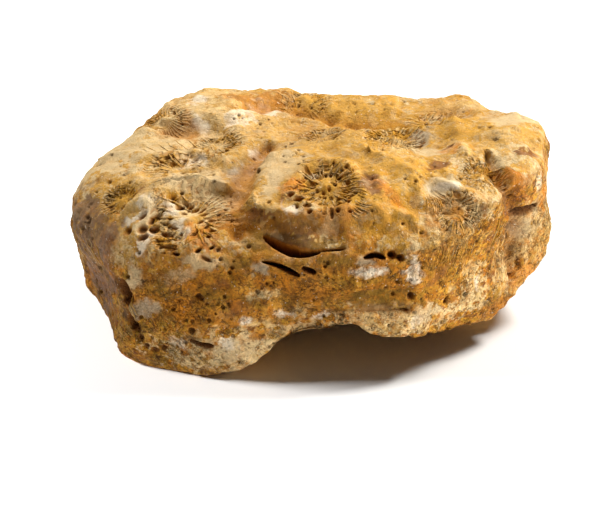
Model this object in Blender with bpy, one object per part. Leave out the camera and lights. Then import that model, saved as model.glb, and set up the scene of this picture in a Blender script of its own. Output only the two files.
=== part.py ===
"""Fossil coral head: one water-worn lump of stone, packed with coral cups (corallites).

The stone is worked out in three layers, all in millimetres:
  1. a rounded block, the space inside a ring of facets, each with its own bearing and distance;
  2. lumps, hollows and ridges that push that block in and out, and a hollowed underside that
     leaves three worn pads to stand on;
  3. the coral itself: cups with radiating septa, slits, clefts, ledges, pits and grain.
Places are (x, y, z) millimetres near the surface. Each is carried on to the surface along the
line from the middle of the stone. X runs left to right, Y from front to back, Z up.
"""
import math

import bpy
import numpy as np

# ---- driving dimensions, in millimetres ----
LENGTH = 92.0             # left to right
DEPTH = 65.0              # front to back
HEIGHT = 39.0             # pads to highest knob
MIDDLE = (0.0, 0.0, 18.5)  # where the facets are measured from
ROUNDING = 12.0           # higher leaves the edges between facets crisper
UNDER_LEVEL = 1.4         # how far the worn underside stands off the floor between its pads
UNDER_BLEND = 1.2         # how softly the underside runs into the flanks
TRIANGLES = 9700          # the finished solid's faces
SPHERE_LEVEL = 7          # the starting ball has 20 * 4 ** (level - 1) faces
MM = 0.001

# ---- the block: bearing (0 right, 90 back, 180 left, 270 front), rise above level, distance ----
FACETS = {
    "top": (262, 82, 17.9),
    "top back": (82, 85, 21.2),
    "top front": (266, 58, 22.8),
    "underside": (270, -88, 22.0),
    "front": (272, -6, 29.8),
    "front right": (318, -18, 33.5),
    "right end": (5, 6, 46.6),
    "right end low": (350, -20, 48.5),
    "right shoulder": (22, 38, 46.3),
    "back right": (45, 14, 46.0),
    "back": (92, 14, 32.0),
    "back left": (133, 14, 40.5),
    "left flank": (206, -16, 41.8),
    "left end": (176, 5, 46.4),
    "left shoulder": (155, 38, 38.5),
    "left brow": (232, 46, 32.0),
    "front left": (246, -20, 37.3),
    "under right": (350, -32, 44.5),
    "under left": (195, -34, 45.0),
    "under back": (92, -40, 33.0),
}

# ---- the underside: x, y, half length, half width, turn, height of the hollow, edge power ----
UNDERSIDE = {
    "arch between the front feet": (3, -26, 9.5, 22, 0, 8.2, 4),
    "lip right of the arch": (18, -26, 10, 16, 0, 7.8, 2),
    "right front corner": (34, -14, 9, 10, 0, 2.6, 2),
    "slope into the arch": (-9, -28, 6, 12, 0, 2.4, 2),
    "hollow behind the arch": (0, 2, 16, 11, 0, 3.0, 2),
    "left tuck": (-50, 12, 14, 22, 0, 9.0, 2),
    "right tuck": (48, 4, 12, 18, 0, 6.0, 2),
    "back tuck": (6, 36, 26, 9, 0, 6.0, 2),
    "left foot pad": (-22, -17.5, 10, 7.5, 0, -4.0, 2),
    "right foot pad": (25, 3, 8, 8, 0, -5.0, 2),
    "back pad": (-4, 21, 12, 7, 0, -4.0, 2),
}

# ---- lumps and hollows: place, half length, half width, turn, height, edge power ----
LUMPS = {
    "right back corner": ((35, 24, 32), 12, 12, 0, 1.0, 2),
    "back left edge": ((-20, 30, 34), 15, 9, 0, 1.6, 2),
    "back left rim": ((-13, 22, 37), 12, 6, 0, 2.4, 4),
    "back left knob": ((-23, 17, 36), 8, 6, 0, 1.8, 2),
    "back left notch": ((-33, 4, 34), 6, 5, 0, -1.6, 2),
    "right shoulder knob": ((39, 8, 36), 9, 9, 0, 5.2, 2),
    "dip beside the top knob": ((19, 16, 37), 5, 7, 0, -2.2, 2),
    "front knob": ((8, -14, 35), 16, 14, 0, 1.4, 4),
    "left plateau": ((-22, -20, 31), 12, 9, 20, 0.8, 4),
    "hollow behind the plateau": ((-24, -11, 35), 8, 5, 0, -1.6, 2),
    "oval hollow": ((-17, -18, 33), 4, 3, 10, -1.0, 4),
    "right ridge hollow": ((22, -18, 34), 4, 4, 0, -1.6, 2),
    "right swelling": ((30, -17, 34), 7, 6, 0, 1.0, 2),
    "right flank": ((43, 0, 16), 9, 13, 0, 1.6, 2),
    "flank hollow": ((37, -13, 18), 4, 5, 0, -1.5, 2),
    "grey pocket": ((23, -1, 36), 5, 4, 0, -1.4, 2),
    "back valley": ((-9, 15, 37), 9, 5, 0, -1.6, 2),
    "left back valley": ((-20, 5, 37), 7, 4, 0, -1.4, 2),
    "right back valley": ((10, 11, 37), 8, 4, 0, -1.6, 2),
    "back top knob": ((26, 22, 36), 6, 6, 0, 3.2, 2),
    "shade under the knob": ((-1.5, -26, 28), 9, 2.8, 0, -1.8, 2),
    "belly over the arch": ((8, -29, 16), 12, 8, 0, 0.8, 2),
    "recess in the front": ((14, -29, 17.5), 8, 2.2, -4, -1.6, 4),
    "foot front": ((-21, -29, 9), 10, 7, 0, 0.8, 2),
    "left foot corner": ((-33, -20, 4), 7, 6, 0, 3.4, 2),
    "right lower flank": ((36, -12, 8), 10, 6, 0, 3.0, 2),
    "flank dent": ((-37, -18, 17), 5, 8, 0, -1.4, 2),
    "back bulge": ((-6, 33, 20), 12, 9, 0, 1.5, 2),
    "back dent": ((16, 31, 18), 9, 9, 0, -2.2, 2),
    "back left dent": ((-30, 22, 20), 8, 8, 0, -1.8, 2),
}

# ---- ridges (raised) and grooves (sunk): places along the line, half width, height, edge power ----
LINES = {
    "plateau brow": (((-33, -18, 29), (-28.5, -17, 31.5), (-24, -14, 34), (-15, -15, 34.5)), 2, 1.4, 2),
    "gully": (((-7, -1, 37), (-9, -5, 36), (-11, -11, 35.5), (-12.3, -18, 33),
               (-12.2, -23.4, 30.5)), 1.8, -2.6, 2),
    "knob left edge": (((-6.5, -6, 36.5), (-8.3, -12, 36), (-9.3, -19, 33)), 1.4, 1, 2),
    "knob brow": (((-9, -21, 32), (-1, -24, 31), (6, -25, 31), (13, -24, 32),
                   (19, -24, 31)), 2.4, 1.1, 2),
    "knob crest": (((-9, -11, 36), (-2, -5, 36.5), (7, -2, 36.5), (11.5, -7.5, 36.4)), 1.7, 0.7, 2),
    "knob right crest": (((11.5, -7.5, 36.4), (19, -14, 35.7),
                          (20.5, -19, 33.8), (23, -23, 31.5)), 1.5, 1.4, 2),
    "right ridge": (((25, -16.5, 35), (27.5, -18.5, 34.3), (30, -20.5, 33)), 1.6, 1.2, 2),
    "right valley": (((33, -6, 36), (36.4, -14.8, 34.4), (39, -14.5, 30.4), (39.4, -10.3, 23),
                      (38.8, -8, 16.3), (37, -6.7, 9.7), (33.8, -7.9, 5)), 1.6, -3, 2),
    "right cleft": (((38.5, -12.5, 25.5), (41, -9, 26), (43.6, -5.5, 26)), 0.9, -3.4, 4),
    "back rim groove": (((-14.6, 12.8, 37), (-8.2, 16.7, 37),
                         (-1.7, 19, 37), (5.3, 13.9, 36.5)), 1.8, -1.8, 2),
    "left back groove": (((-27.3, 9.6, 36.7), (-21.3, 7.4, 36.3), (-15.4, 6.1, 36.1)), 1.6, -1.5, 2),
    "left back ridge": (((-27.7, 12.2, 37), (-19.2, 11.2, 37),
                         (-11, 11, 36.6), (-3, 11, 36.8)), 2, 0.9, 2),
    "left terrace": (((-38, 1, 32), (-31.4, -1.3, 34.9),
                      (-22.8, -3.9, 34.6), (-17.3, 0.5, 35.5)), 1.8, 1, 2),
    "right back groove": (((5.7, 12.4, 36.4), (12.3, 11.6, 36), (18.6, 10.4, 36.4)), 1.6, -1.8, 2),
    "right back ridge": (((2, 16, 36.7), (8.3, 16.3, 36.7), (18, 17, 36.2)), 2, 1, 2),
    "pocket ridge": (((25.7, 10.6, 37.4), (27.9, 1.4, 36.9), (29.5, -8, 35.8)), 1.8, 1.2, 2),
    "long slit": (((-7.2, -26.6, 27.9), (-4.9, -27.2, 26.6),
                   (-2.4, -28, 25.6), (0, -28.3, 25.2)), 0.8, -3.4, 4),
    "lower slit": (((-7.4, -28.5, 24.6), (-5, -28.8, 24.1),
                    (-2.4, -29.4, 22.9), (-1, -29.8, 22.2)), 0.8, -3.2, 4),
    "ledge over the slits": (((-7, -27, 28.8), (-3, -27.6, 27.2),
                              (1, -28, 26.8), (5, -27.8, 27.6)), 1, 0.7, 2),
    "arched hollow": (((10.3, -28.8, 25.3), (12.3, -28.8, 25.8), (13.9, -28.8, 25.2)), 0.8, -2.2, 4),
    "recess groove": (((9, -28.8, 15.5), (14.9, -28, 15.1), (18.4, -27.2, 14.5)), 0.8, -1.4, 2),
    "recess ledge": (((6.8, -30.3, 20.4), (11.2, -30, 20.1), (16.3, -29.3, 19.9)), 0.9, 0.7, 2),
    "left cleft": (((-33, -25.5, 19), (-32.6, -25.4, 17), (-32.2, -25.4, 14.5)), 1.3, -3.4, 4),
    "left low cleft": (((-31.5, -25, 12), (-31.5, -24.5, 9.5)), 1, -2.4, 4),
    "back shelf": (((-30, 27, 27), (-16, 33, 26), (0, 34, 27)), 1.4, -1.8, 2),
    "back shelf right": (((12, 33, 10), (24, 30, 12), (34, 24, 12)), 1.3, -1.6, 2),
    "left crack": (((-44, 0, 26), (-45, 8, 22), (-43, 15, 15)), 0.8, -1.6, 2),
    "under groove": (((-8, -10, 4), (2, 4, 5), (10, 16, 4)), 2, -1.2, 2),
}

# ---- coral cups: place, radius, bowl depth, rim height, septa, septum height, boss height ----
CUPS = {
    "left cup": ((-21.5, -22.5, 30.5), 6.8, 1.6, 0.5, 14, 0.41, 0.9),
    "knob cup": ((4, -18.5, 34.8), 6, 1.7, 0.7, 14, 0.36, 0.9),
    "crest cup": ((17, 0.5, 37), 5, 1.2, 0.5, 14, 0.36, 0.5),
    "faint cup": ((3.5, 4, 37), 4.2, 0.7, 0.3, 14, 0.24, 0.3),
    "right cup": ((25.5, -22.5, 32), 4.8, 0.9, 0.3, 14, 0.29, 0.4),
    "shoulder cup": ((32.5, -13, 35.5), 4.2, 0.9, 0.4, 14, 0.31, 0.4),
    "plateau cup": ((-24, -8, 34.2), 5, 0.9, 0.3, 14, 0.31, 0.3),
    "small left cup": ((-34, -14.7, 30.8), 3.4, 1.2, 0.4, 14, 0.31, 0.2),
    "back left cup": ((-17.2, 1, 35.6), 4.6, 0.9, 0.4, 14, 0.29, 0.3),
    "far left cup": ((-26, 12, 36), 4.4, 1, 0.4, 14, 0.29, 0.3),
    "middle back cup": ((0, 21, 37), 4.8, 1.1, 0.4, 14, 0.29, 0.4),
    "right back cup": ((24, 11, 37), 4.8, 1.1, 0.4, 14, 0.29, 0.4),
    "right end cup": ((45, 6, 17), 5, 1.3, 0.5, 14, 0.36, 0.5),
    "back wall cup": ((-14, 32, 16), 5.6, 1.5, 0.6, 14, 0.36, 0.6),
    "back corner cup": ((32, 27, 22), 5, 1.2, 0.5, 14, 0.36, 0.5),
    "left end cup": ((-44, 8, 17), 5.2, 1.3, 0.5, 14, 0.36, 0.5),
    "left back cup": ((-33, 21, 24), 4.4, 1, 0.4, 14, 0.31, 0.4),
    "under cup": ((8, 8, 3), 5, 1, 0.3, 14, 0.31, 0.3),
}
CUP_MOUTH = 0.30          # the septa stop this far in from a cup's middle, as a share of its radius
CUP_REACH = 1.9           # a cup is felt this many radii out

# ---- round holes: place, radius, depth ----
PITS = {
    "round hole": ((15.4, -28.8, 25.8), 0.9, 2),
    "plateau pit": ((-28.5, -22, 27.6), 0.9, 1.1),
    "plateau pit twin": ((-27.6, -23, 26.6), 0.8, 1),
    "plateau left pit": ((-31, -21, 27), 0.8, 1),
    "brow pit": ((-25, -18, 32.5), 0.8, 0.9),
    "small cup pit": ((-33, -17, 29.6), 1, 1),
    "back hole": ((4, 33, 12), 1.2, 1.6),
    "right end hole": ((44, 14, 24), 1.1, 1.4),
    "left end hole": ((-43, -4, 24), 1, 1.2),
}

# ---- grain over the whole stone: wavelength, height, how far it folds into creases (0 to 1) ----
GRAIN = ((13.0, 1.2, 0.0), (6.5, 0.8, 0.5), (3.4, 0.5, 0.6))
CREASE_LEVEL = 0.6        # takes the creased layers down to the same middle level
GRAIN_SEED = 5
PAD_FADE = 1.6            # detail dies away over this height above the floor
PAD_SNAP = 0.15           # corners this close to the floor are set flat on it


def direction(bearing, rise):
    """Unit vector that points along a bearing, lifted by a rise, both in degrees."""
    turn, lift = math.radians(bearing), math.radians(rise)
    return np.array([math.cos(lift) * math.cos(turn), math.cos(lift) * math.sin(turn), math.sin(lift)])


def toward(places):
    """Unit vectors from the middle of the stone to some places."""
    rays = np.atleast_2d(np.array(places, float)) - np.array(MIDDLE)
    return rays / np.linalg.norm(rays, axis=1, keepdims=True)


def bump(share, power):
    """One at the middle, fading out past a share of one; a higher power has steeper sides."""
    return np.exp(-np.abs(share) ** power)


def smooth_max(a, b, blend):
    """The higher of two heights, rounded where they cross."""
    mix = np.clip(0.5 + 0.5 * (a - b) / blend, 0.0, 1.0)
    return b + (a - b) * mix + blend * mix * (1.0 - mix)


def block_reach(rays):
    """How far the rounded block reaches from the middle along each ray."""
    total = np.zeros(len(rays))
    for bearing, rise, distance in FACETS.values():
        total += np.maximum(0.0, rays @ direction(bearing, rise) / distance) ** ROUNDING
    return total ** (-1.0 / ROUNDING)


def tangents(ray, turn):
    """Two directions across a ray: level, and up the slope, both turned by some degrees."""
    level = np.array([-ray[1], ray[0], 0.0])
    level /= np.linalg.norm(level) + 1e-9
    upward = np.cross(ray, level)
    angle = math.radians(turn)
    return (level * math.cos(angle) + upward * math.sin(angle),
            upward * math.cos(angle) - level * math.sin(angle))


def underside(points):
    """Height of the worn underside above the floor, below each point."""
    height = np.full(len(points), UNDER_LEVEL)
    for x, y, half_length, half_width, turn, rise, power in UNDERSIDE.values():
        angle = math.radians(turn)
        dx, dy = points[:, 0] - x, points[:, 1] - y
        along = (dx * math.cos(angle) + dy * math.sin(angle)) / half_length
        across = (dy * math.cos(angle) - dx * math.sin(angle)) / half_width
        height += rise * bump(along, power) * bump(across, power)
    return height


def big_form(rays):
    """The stone without its coral: block, lumps and underside, as points for unit rays."""
    reach = block_reach(rays)
    block = rays * reach[:, None]
    lift = np.zeros(len(rays))
    for place, half_length, half_width, turn, height, power in LUMPS.values():
        ray = toward(place)[0]
        level, upward = tangents(ray, turn)
        offset = block - ray * block_reach(ray[None])[0]
        deep = (offset @ ray) / (1.5 * max(half_length, half_width))
        round_off = np.abs((offset @ level) / half_length) ** power
        round_off += np.abs((offset @ upward) / half_width) ** power + deep ** 2
        lift += height * np.exp(-round_off)
    points = rays * (reach + lift)[:, None] + np.array(MIDDLE)
    points[:, 2] = smooth_max(points[:, 2], underside(points), UNDER_BLEND)
    points[:, 2] = np.maximum(points[:, 2], 0.0)
    return points


def on_surface(places):
    """Places carried on to the big form."""
    return big_form(toward(places))


def curve_through(places, steps=10):
    """Points along a smooth curve through some places (Catmull-Rom)."""
    knots = np.array([places[0], *places, places[-1]], float)
    curve = []
    for before, start, end, after in zip(knots, knots[1:], knots[2:], knots[3:]):
        for t in np.linspace(0.0, 1.0, steps, endpoint=False):
            curve.append(0.5 * (2 * start + (end - before) * t
                                + (2 * before - 5 * start + 4 * end - after) * t ** 2
                                + (3 * start - before - 3 * end + after) * t ** 3))
    curve.append(knots[-1])
    return np.array(curve)


def distance_to_line(points, line):
    """Distance from each point to a chain of short segments."""
    nearest = np.full(len(points), np.inf)
    for start, end in zip(line, line[1:]):
        run = end - start
        share = np.clip((points - start) @ run / (run @ run + 1e-9), 0.0, 1.0)
        nearest = np.minimum(nearest, np.linalg.norm(points - start - share[:, None] * run, axis=1))
    return nearest


def lattice_value(cell, seed):
    """A fixed value from 0 to 1 for each cell of a lattice."""
    mixed = (cell[:, 0] * 73856093) ^ (cell[:, 1] * 19349663) ^ (cell[:, 2] * 83492791) ^ (seed * 2654435)
    mixed = (mixed ^ (mixed >> 13)) * 1274126177 & 0x7FFFFFFF
    return (mixed ^ (mixed >> 16)) % 65536 / 65535.0


def noise(points, wavelength, seed):
    """Smooth noise from -1 to 1 whose lumps are about one wavelength across."""
    scaled = points / wavelength
    cell = np.floor(scaled).astype(np.int64)
    part = scaled - cell
    part = part * part * (3.0 - 2.0 * part)
    total = np.zeros(len(points))
    for corner in np.ndindex(2, 2, 2):
        weight = np.prod(np.where(corner, part, 1.0 - part), axis=1)
        total += weight * lattice_value(cell + corner, seed)
    return 2.0 * total - 1.0


def lines_relief(points):
    """Height that the ridges and grooves give each point."""
    height = np.zeros(len(points))
    for places, half_width, rise, power in LINES.values():
        line = on_surface(curve_through(places))
        middle = line.mean(axis=0)
        reach = np.linalg.norm(line - middle, axis=1).max() + 3.0 * half_width
        near = np.linalg.norm(points - middle, axis=1) < reach
        height[near] += rise * bump(distance_to_line(points[near], line) / half_width, power)
    return height


def cup_relief(offset, ray, radius, depth, rim, septa, septum, boss):
    """Height of one coral cup: bowl, rim, radiating septa and a boss in its middle."""
    level, upward = tangents(ray, 0)
    across = np.linalg.norm(offset - np.outer(offset @ ray, ray), axis=1) / radius
    angle = np.arctan2(offset @ upward, offset @ level)
    bowl = -depth * bump(across / 0.8, 4)
    lip = rim * bump((across - 1.05) / 0.22, 2)
    blades = septum * np.cos(septa * angle) * bump((across - 0.72) / 0.36, 4)
    blades *= np.clip((across - CUP_MOUTH) * 6.0, 0.0, 1.0)
    return bowl + lip + blades + boss * bump(across / 0.28, 2)


def cups_relief(points):
    """Height that the coral cups give each point."""
    height = np.zeros(len(points))
    for place, radius, *form in CUPS.values():
        ray = toward(place)[0]
        offset = points - on_surface(place)[0]
        near = np.linalg.norm(offset, axis=1) < CUP_REACH * radius
        height[near] += cup_relief(offset[near], ray, radius, *form)
    return height


def pits_relief(points):
    """Height, below the surface, that the round holes give each point."""
    height = np.zeros(len(points))
    for place, radius, depth in PITS.values():
        distance = np.linalg.norm(points - on_surface(place)[0], axis=1)
        height -= depth * bump(distance / radius, 4)
    return height


def grain_relief(points):
    """Height that the rough skin gives each point."""
    height = np.zeros(len(points))
    for number, (wavelength, lift, creased) in enumerate(GRAIN):
        wave = noise(points, wavelength, GRAIN_SEED + number)
        height += lift * ((1.0 - creased) * wave + creased * (2.0 * np.abs(wave) - CREASE_LEVEL))
    return height


def relief(points):
    """All the fine forms together, dying away at the worn pads."""
    height = lines_relief(points) + cups_relief(points) + pits_relief(points) + grain_relief(points)
    fade = np.clip(points[:, 2] / PAD_FADE, 0.0, 1.0)
    return height * fade * fade * (3.0 - 2.0 * fade)


def fit_to_size(points):
    """Scale the stone to its driving dimensions, middle over the origin, pads on the floor."""
    low, high = points.min(axis=0), points.max(axis=0)
    size = np.array([LENGTH, DEPTH, HEIGHT])
    base = np.array([(low[0] + high[0]) / 2, (low[1] + high[1]) / 2, low[2]])
    return (points - base) * size / (high - low)


def read_points(mesh, what):
    """A mesh's vertex positions or normals as rows of numbers."""
    values = np.empty(len(mesh.vertices) * 3)
    mesh.vertices.foreach_get(what, values)
    return values.reshape(-1, 3)


def write_points(mesh, points):
    """Move a mesh's vertices."""
    mesh.vertices.foreach_set("co", points.ravel())
    mesh.update()


def stone_material():
    """Golden brown, dull limestone."""
    material = bpy.data.materials.new("fossil_stone")
    material.use_nodes = True
    shader = material.node_tree.nodes["Principled BSDF"]
    shader.inputs["Base Color"].default_value = (0.46, 0.29, 0.11, 1.0)
    shader.inputs["Roughness"].default_value = 0.72
    shader.inputs["Metallic"].default_value = 0.0
    return material


def carve_stone():
    """A dense ball pushed into the shape of the stone."""
    bpy.ops.mesh.primitive_ico_sphere_add(subdivisions=SPHERE_LEVEL, radius=1.0)
    stone = bpy.context.object
    rays = read_points(stone.data, "co")
    rays /= np.linalg.norm(rays, axis=1, keepdims=True)
    points = big_form(rays)
    write_points(stone.data, points)
    outward = read_points(stone.data, "normal")
    points = points + outward * relief(points)[:, None]
    points[:, 2] = np.maximum(points[:, 2], 0.0)
    write_points(stone.data, fit_to_size(points) * MM)
    return stone


def thin_out(stone):
    """Fewer, larger faces, which keep to the forms and leave the pads flat."""
    thin = stone.modifiers.new("fewer faces", "DECIMATE")
    thin.ratio = TRIANGLES / len(stone.data.polygons)
    mesh = bpy.data.meshes.new_from_object(stone.evaluated_get(bpy.context.evaluated_depsgraph_get()))
    stone.modifiers.remove(thin)
    stone.data = mesh
    points = fit_to_size(read_points(mesh, "co") / MM)
    points[points[:, 2] < PAD_SNAP, 2] = 0.0
    write_points(mesh, points * MM)


def main():
    for old in list(bpy.data.objects):
        bpy.data.objects.remove(old)
    stone = carve_stone()
    thin_out(stone)
    stone.name = "fossil_coral_head"
    stone.data.name = "fossil_coral_head"
    stone.data.materials.append(stone_material())
    stone.data.shade_smooth()


main()
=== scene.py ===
import math
from collections import namedtuple

import bpy
import numpy as np
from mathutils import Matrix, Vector


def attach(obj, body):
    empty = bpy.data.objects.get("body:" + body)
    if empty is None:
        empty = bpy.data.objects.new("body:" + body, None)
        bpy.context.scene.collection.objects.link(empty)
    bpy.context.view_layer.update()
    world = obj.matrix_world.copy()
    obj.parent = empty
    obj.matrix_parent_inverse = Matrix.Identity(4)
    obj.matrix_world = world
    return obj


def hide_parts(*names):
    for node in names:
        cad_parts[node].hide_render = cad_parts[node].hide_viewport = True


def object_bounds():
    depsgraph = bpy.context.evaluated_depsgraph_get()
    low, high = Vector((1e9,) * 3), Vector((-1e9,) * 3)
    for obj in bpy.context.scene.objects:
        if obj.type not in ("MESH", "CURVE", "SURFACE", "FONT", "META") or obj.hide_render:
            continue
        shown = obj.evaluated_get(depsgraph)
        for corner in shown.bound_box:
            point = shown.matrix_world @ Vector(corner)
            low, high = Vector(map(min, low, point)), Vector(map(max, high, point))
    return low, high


# A fossil coral head: one water-worn lump of stone, packed with coral cups.
# Tables are in millimetres, with X left to right, Y front to back and Z up.
# A place is near the surface, and is carried on to it along the line from the stone's middle.

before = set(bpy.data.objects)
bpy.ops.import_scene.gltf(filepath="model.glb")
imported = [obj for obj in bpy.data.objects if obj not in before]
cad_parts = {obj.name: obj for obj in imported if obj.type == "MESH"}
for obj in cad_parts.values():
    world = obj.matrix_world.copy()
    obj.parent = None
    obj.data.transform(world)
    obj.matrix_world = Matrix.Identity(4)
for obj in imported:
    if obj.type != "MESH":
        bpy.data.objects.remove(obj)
cadLow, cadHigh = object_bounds()  # the solid model's box, before anything is added
boxLow, boxHigh = np.array(cadLow), np.array(cadHigh)
mm = 0.001

stone = {
    "middle": (0.0, 0.0, 18.5),  # where the facets are measured from
    "rounding": 12.0,  # higher leaves the edges between facets crisper
    "underLevel": 1.4,  # how far the worn underside stands off the floor between its pads
    "underBlend": 1.2,  # how softly the underside runs into the flanks
    "ballLevel": 9,  # the starting ball, before it is thinned out
    "quickBallLevel": 8,
    "triangles": 190000,
    "lumpDepth": 1.5,  # how far in a lump is felt, in shares of its longer half
    "padFade": 1.6,  # detail dies away over this height above the floor
    "poresFrom": 0.3,  # no pores below this height
    "holeShade": 0.9,  # how much painted shade a pit holds inside
    "netShade": 0.8,  # how much painted shade a net hole holds for each millimetre of its depth
    # wavelength, height, share that is creased
    "grain": ((13.0, 1.2, 0.0), (6.5, 0.8, 0.5), (3.4, 0.5, 0.6), (1.8, 0.3, 0.6), (1.0, 0.15, 0.5)),
    "creaseLevel": 0.6,  # taken off creased grain, so that it doesn't swell the stone
    "grainSeed": 5,
    "wornFrom": 3,  # the rows of grain from here on are rubbed away where the stone is polished
    "wornAway": 0.85,
    "wornEdge": (1.3, 0.7),  # a polished patch fades in from the first to the second, in half lengths
}

# bearing (0 right, 90 back, 180 left, 270 front), rise above level, distance
facets = {
    "top": (262, 82, 17.9),
    "top back": (82, 85, 21.2),
    "top front": (266, 58, 22.8),
    "underside": (270, -88, 22.0),
    "front": (272, -6, 29.8),
    "front right": (318, -18, 33.5),
    "right end": (5, 6, 46.6),
    "right end low": (350, -20, 48.5),
    "right shoulder": (22, 38, 46.3),
    "back right": (45, 14, 46.0),
    "back": (92, 14, 32.0),
    "back left": (133, 14, 40.5),
    "left flank": (206, -16, 41.8),
    "left end": (176, 5, 46.4),
    "left shoulder": (155, 38, 38.5),
    "left brow": (232, 46, 32.0),
    "front left": (246, -20, 37.3),
    "under right": (350, -32, 44.5),
    "under left": (195, -34, 45.0),
    "under back": (92, -40, 33.0),
}

# x, y, half length, half width, turn, height of the hollow, edge power
underHollows = {
    "arch between the front feet": (3, -26, 9.5, 22, 0, 8.2, 4),
    "lip right of the arch": (18, -26, 10, 16, 0, 7.8, 2),
    "right front corner": (34, -14, 9, 10, 0, 2.6, 2),
    "slope into the arch": (-9, -28, 6, 12, 0, 2.4, 2),
    "hollow behind the arch": (0, 2, 16, 11, 0, 3.0, 2),
    "left tuck": (-50, 12, 14, 22, 0, 9.0, 2),
    "right tuck": (48, 4, 12, 18, 0, 6.0, 2),
    "back tuck": (6, 36, 26, 9, 0, 6.0, 2),
    "left foot pad": (-22, -17.5, 10, 7.5, 0, -4.0, 2),
    "right foot pad": (25, 3, 8, 8, 0, -5.0, 2),
    "back pad": (-4, 21, 12, 7, 0, -4.0, 2),
}

# place, half length, half width, turn, height, edge power
lumps = {
    "right back corner": ((35, 24, 32), 12, 12, 0, 1.0, 2),
    "back left edge": ((-20, 30, 34), 15, 9, 0, 1.6, 2),
    "back left rim": ((-13, 22, 37), 12, 6, 0, 2.4, 4),
    "back left knob": ((-23, 17, 36), 8, 6, 0, 1.8, 2),
    "back left notch": ((-33, 4, 34), 6, 5, 0, -1.6, 2),
    "right shoulder knob": ((39, 8, 36), 9, 9, 0, 5.2, 2),
    "dip beside the top knob": ((19, 16, 37), 5, 7, 0, -2.2, 2),
    "front knob": ((8, -14, 35), 16, 14, 0, 1.4, 4),
    "left plateau": ((-22, -20, 31), 12, 9, 20, 0.8, 4),
    "hollow behind the plateau": ((-24, -11, 35), 8, 5, 0, -1.6, 2),
    "oval hollow": ((-17, -18, 33), 4, 3, 10, -1.0, 4),
    "right ridge hollow": ((23.4, -17, 34), 3.4, 2.6, 0, -1.5, 2),
    "right swelling": ((30, -17, 34), 7, 6, 0, 1.0, 2),
    "right flank": ((43, 0, 16), 9, 13, 0, 1.6, 2),
    "flank hollow": ((37, -13, 18), 4, 5, 0, -1.5, 2),
    "grey pocket": ((23, -1, 36), 5, 4, 0, -1.4, 2),
    "back valley": ((-9, 15, 37), 9, 5, 0, -1.6, 2),
    "left back valley": ((-20, 5, 37), 7, 4, 0, -1.4, 2),
    "right back valley": ((10, 11, 37), 8, 4, 0, -1.6, 2),
    "back top knob": ((26, 22, 36), 6, 6, 0, 3.2, 2),
    "shade under the knob": ((-1.5, -26, 28.6), 10, 3.2, 0, -1.4, 2),
    "belly over the arch": ((8, -29, 16), 12, 8, 0, 0.8, 2),
    "recess in the front": ((14, -29, 17.5), 8, 2.2, -4, -1.6, 4),
    "foot front": ((-21, -29, 9), 10, 7, 0, 0.8, 2),
    "left foot corner": ((-33, -20, 4), 7, 6, 0, 3.4, 2),
    "right lower flank": ((36, -12, 8), 10, 6, 0, 3.0, 2),
    "flank dent": ((-37, -18, 17), 5, 8, 0, -1.4, 2),
    "back bulge": ((-6, 33, 20), 12, 9, 0, 1.5, 2),
    "back dent": ((16, 31, 18), 9, 9, 0, -2.2, 2),
    "back left dent": ((-30, 22, 20), 8, 8, 0, -1.8, 2),
}

# how the lines below are drawn on the stone
edges = {
    "slitPower": 4,  # lines with this edge power are slits, with painted shade inside
    "slitShade": 0.8,  # lower makes the painted shade wider
    "endShare": 0.3,  # a line narrows to its ends, but stops this share of a step before nothing
    "reach": 3.0,  # half widths
    "ragged": (0.3, 0.12),  # of the width: ridges and grooves, slits
    "ragWavelength": 2.4,
    "ragSeed": 21,
}

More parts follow.
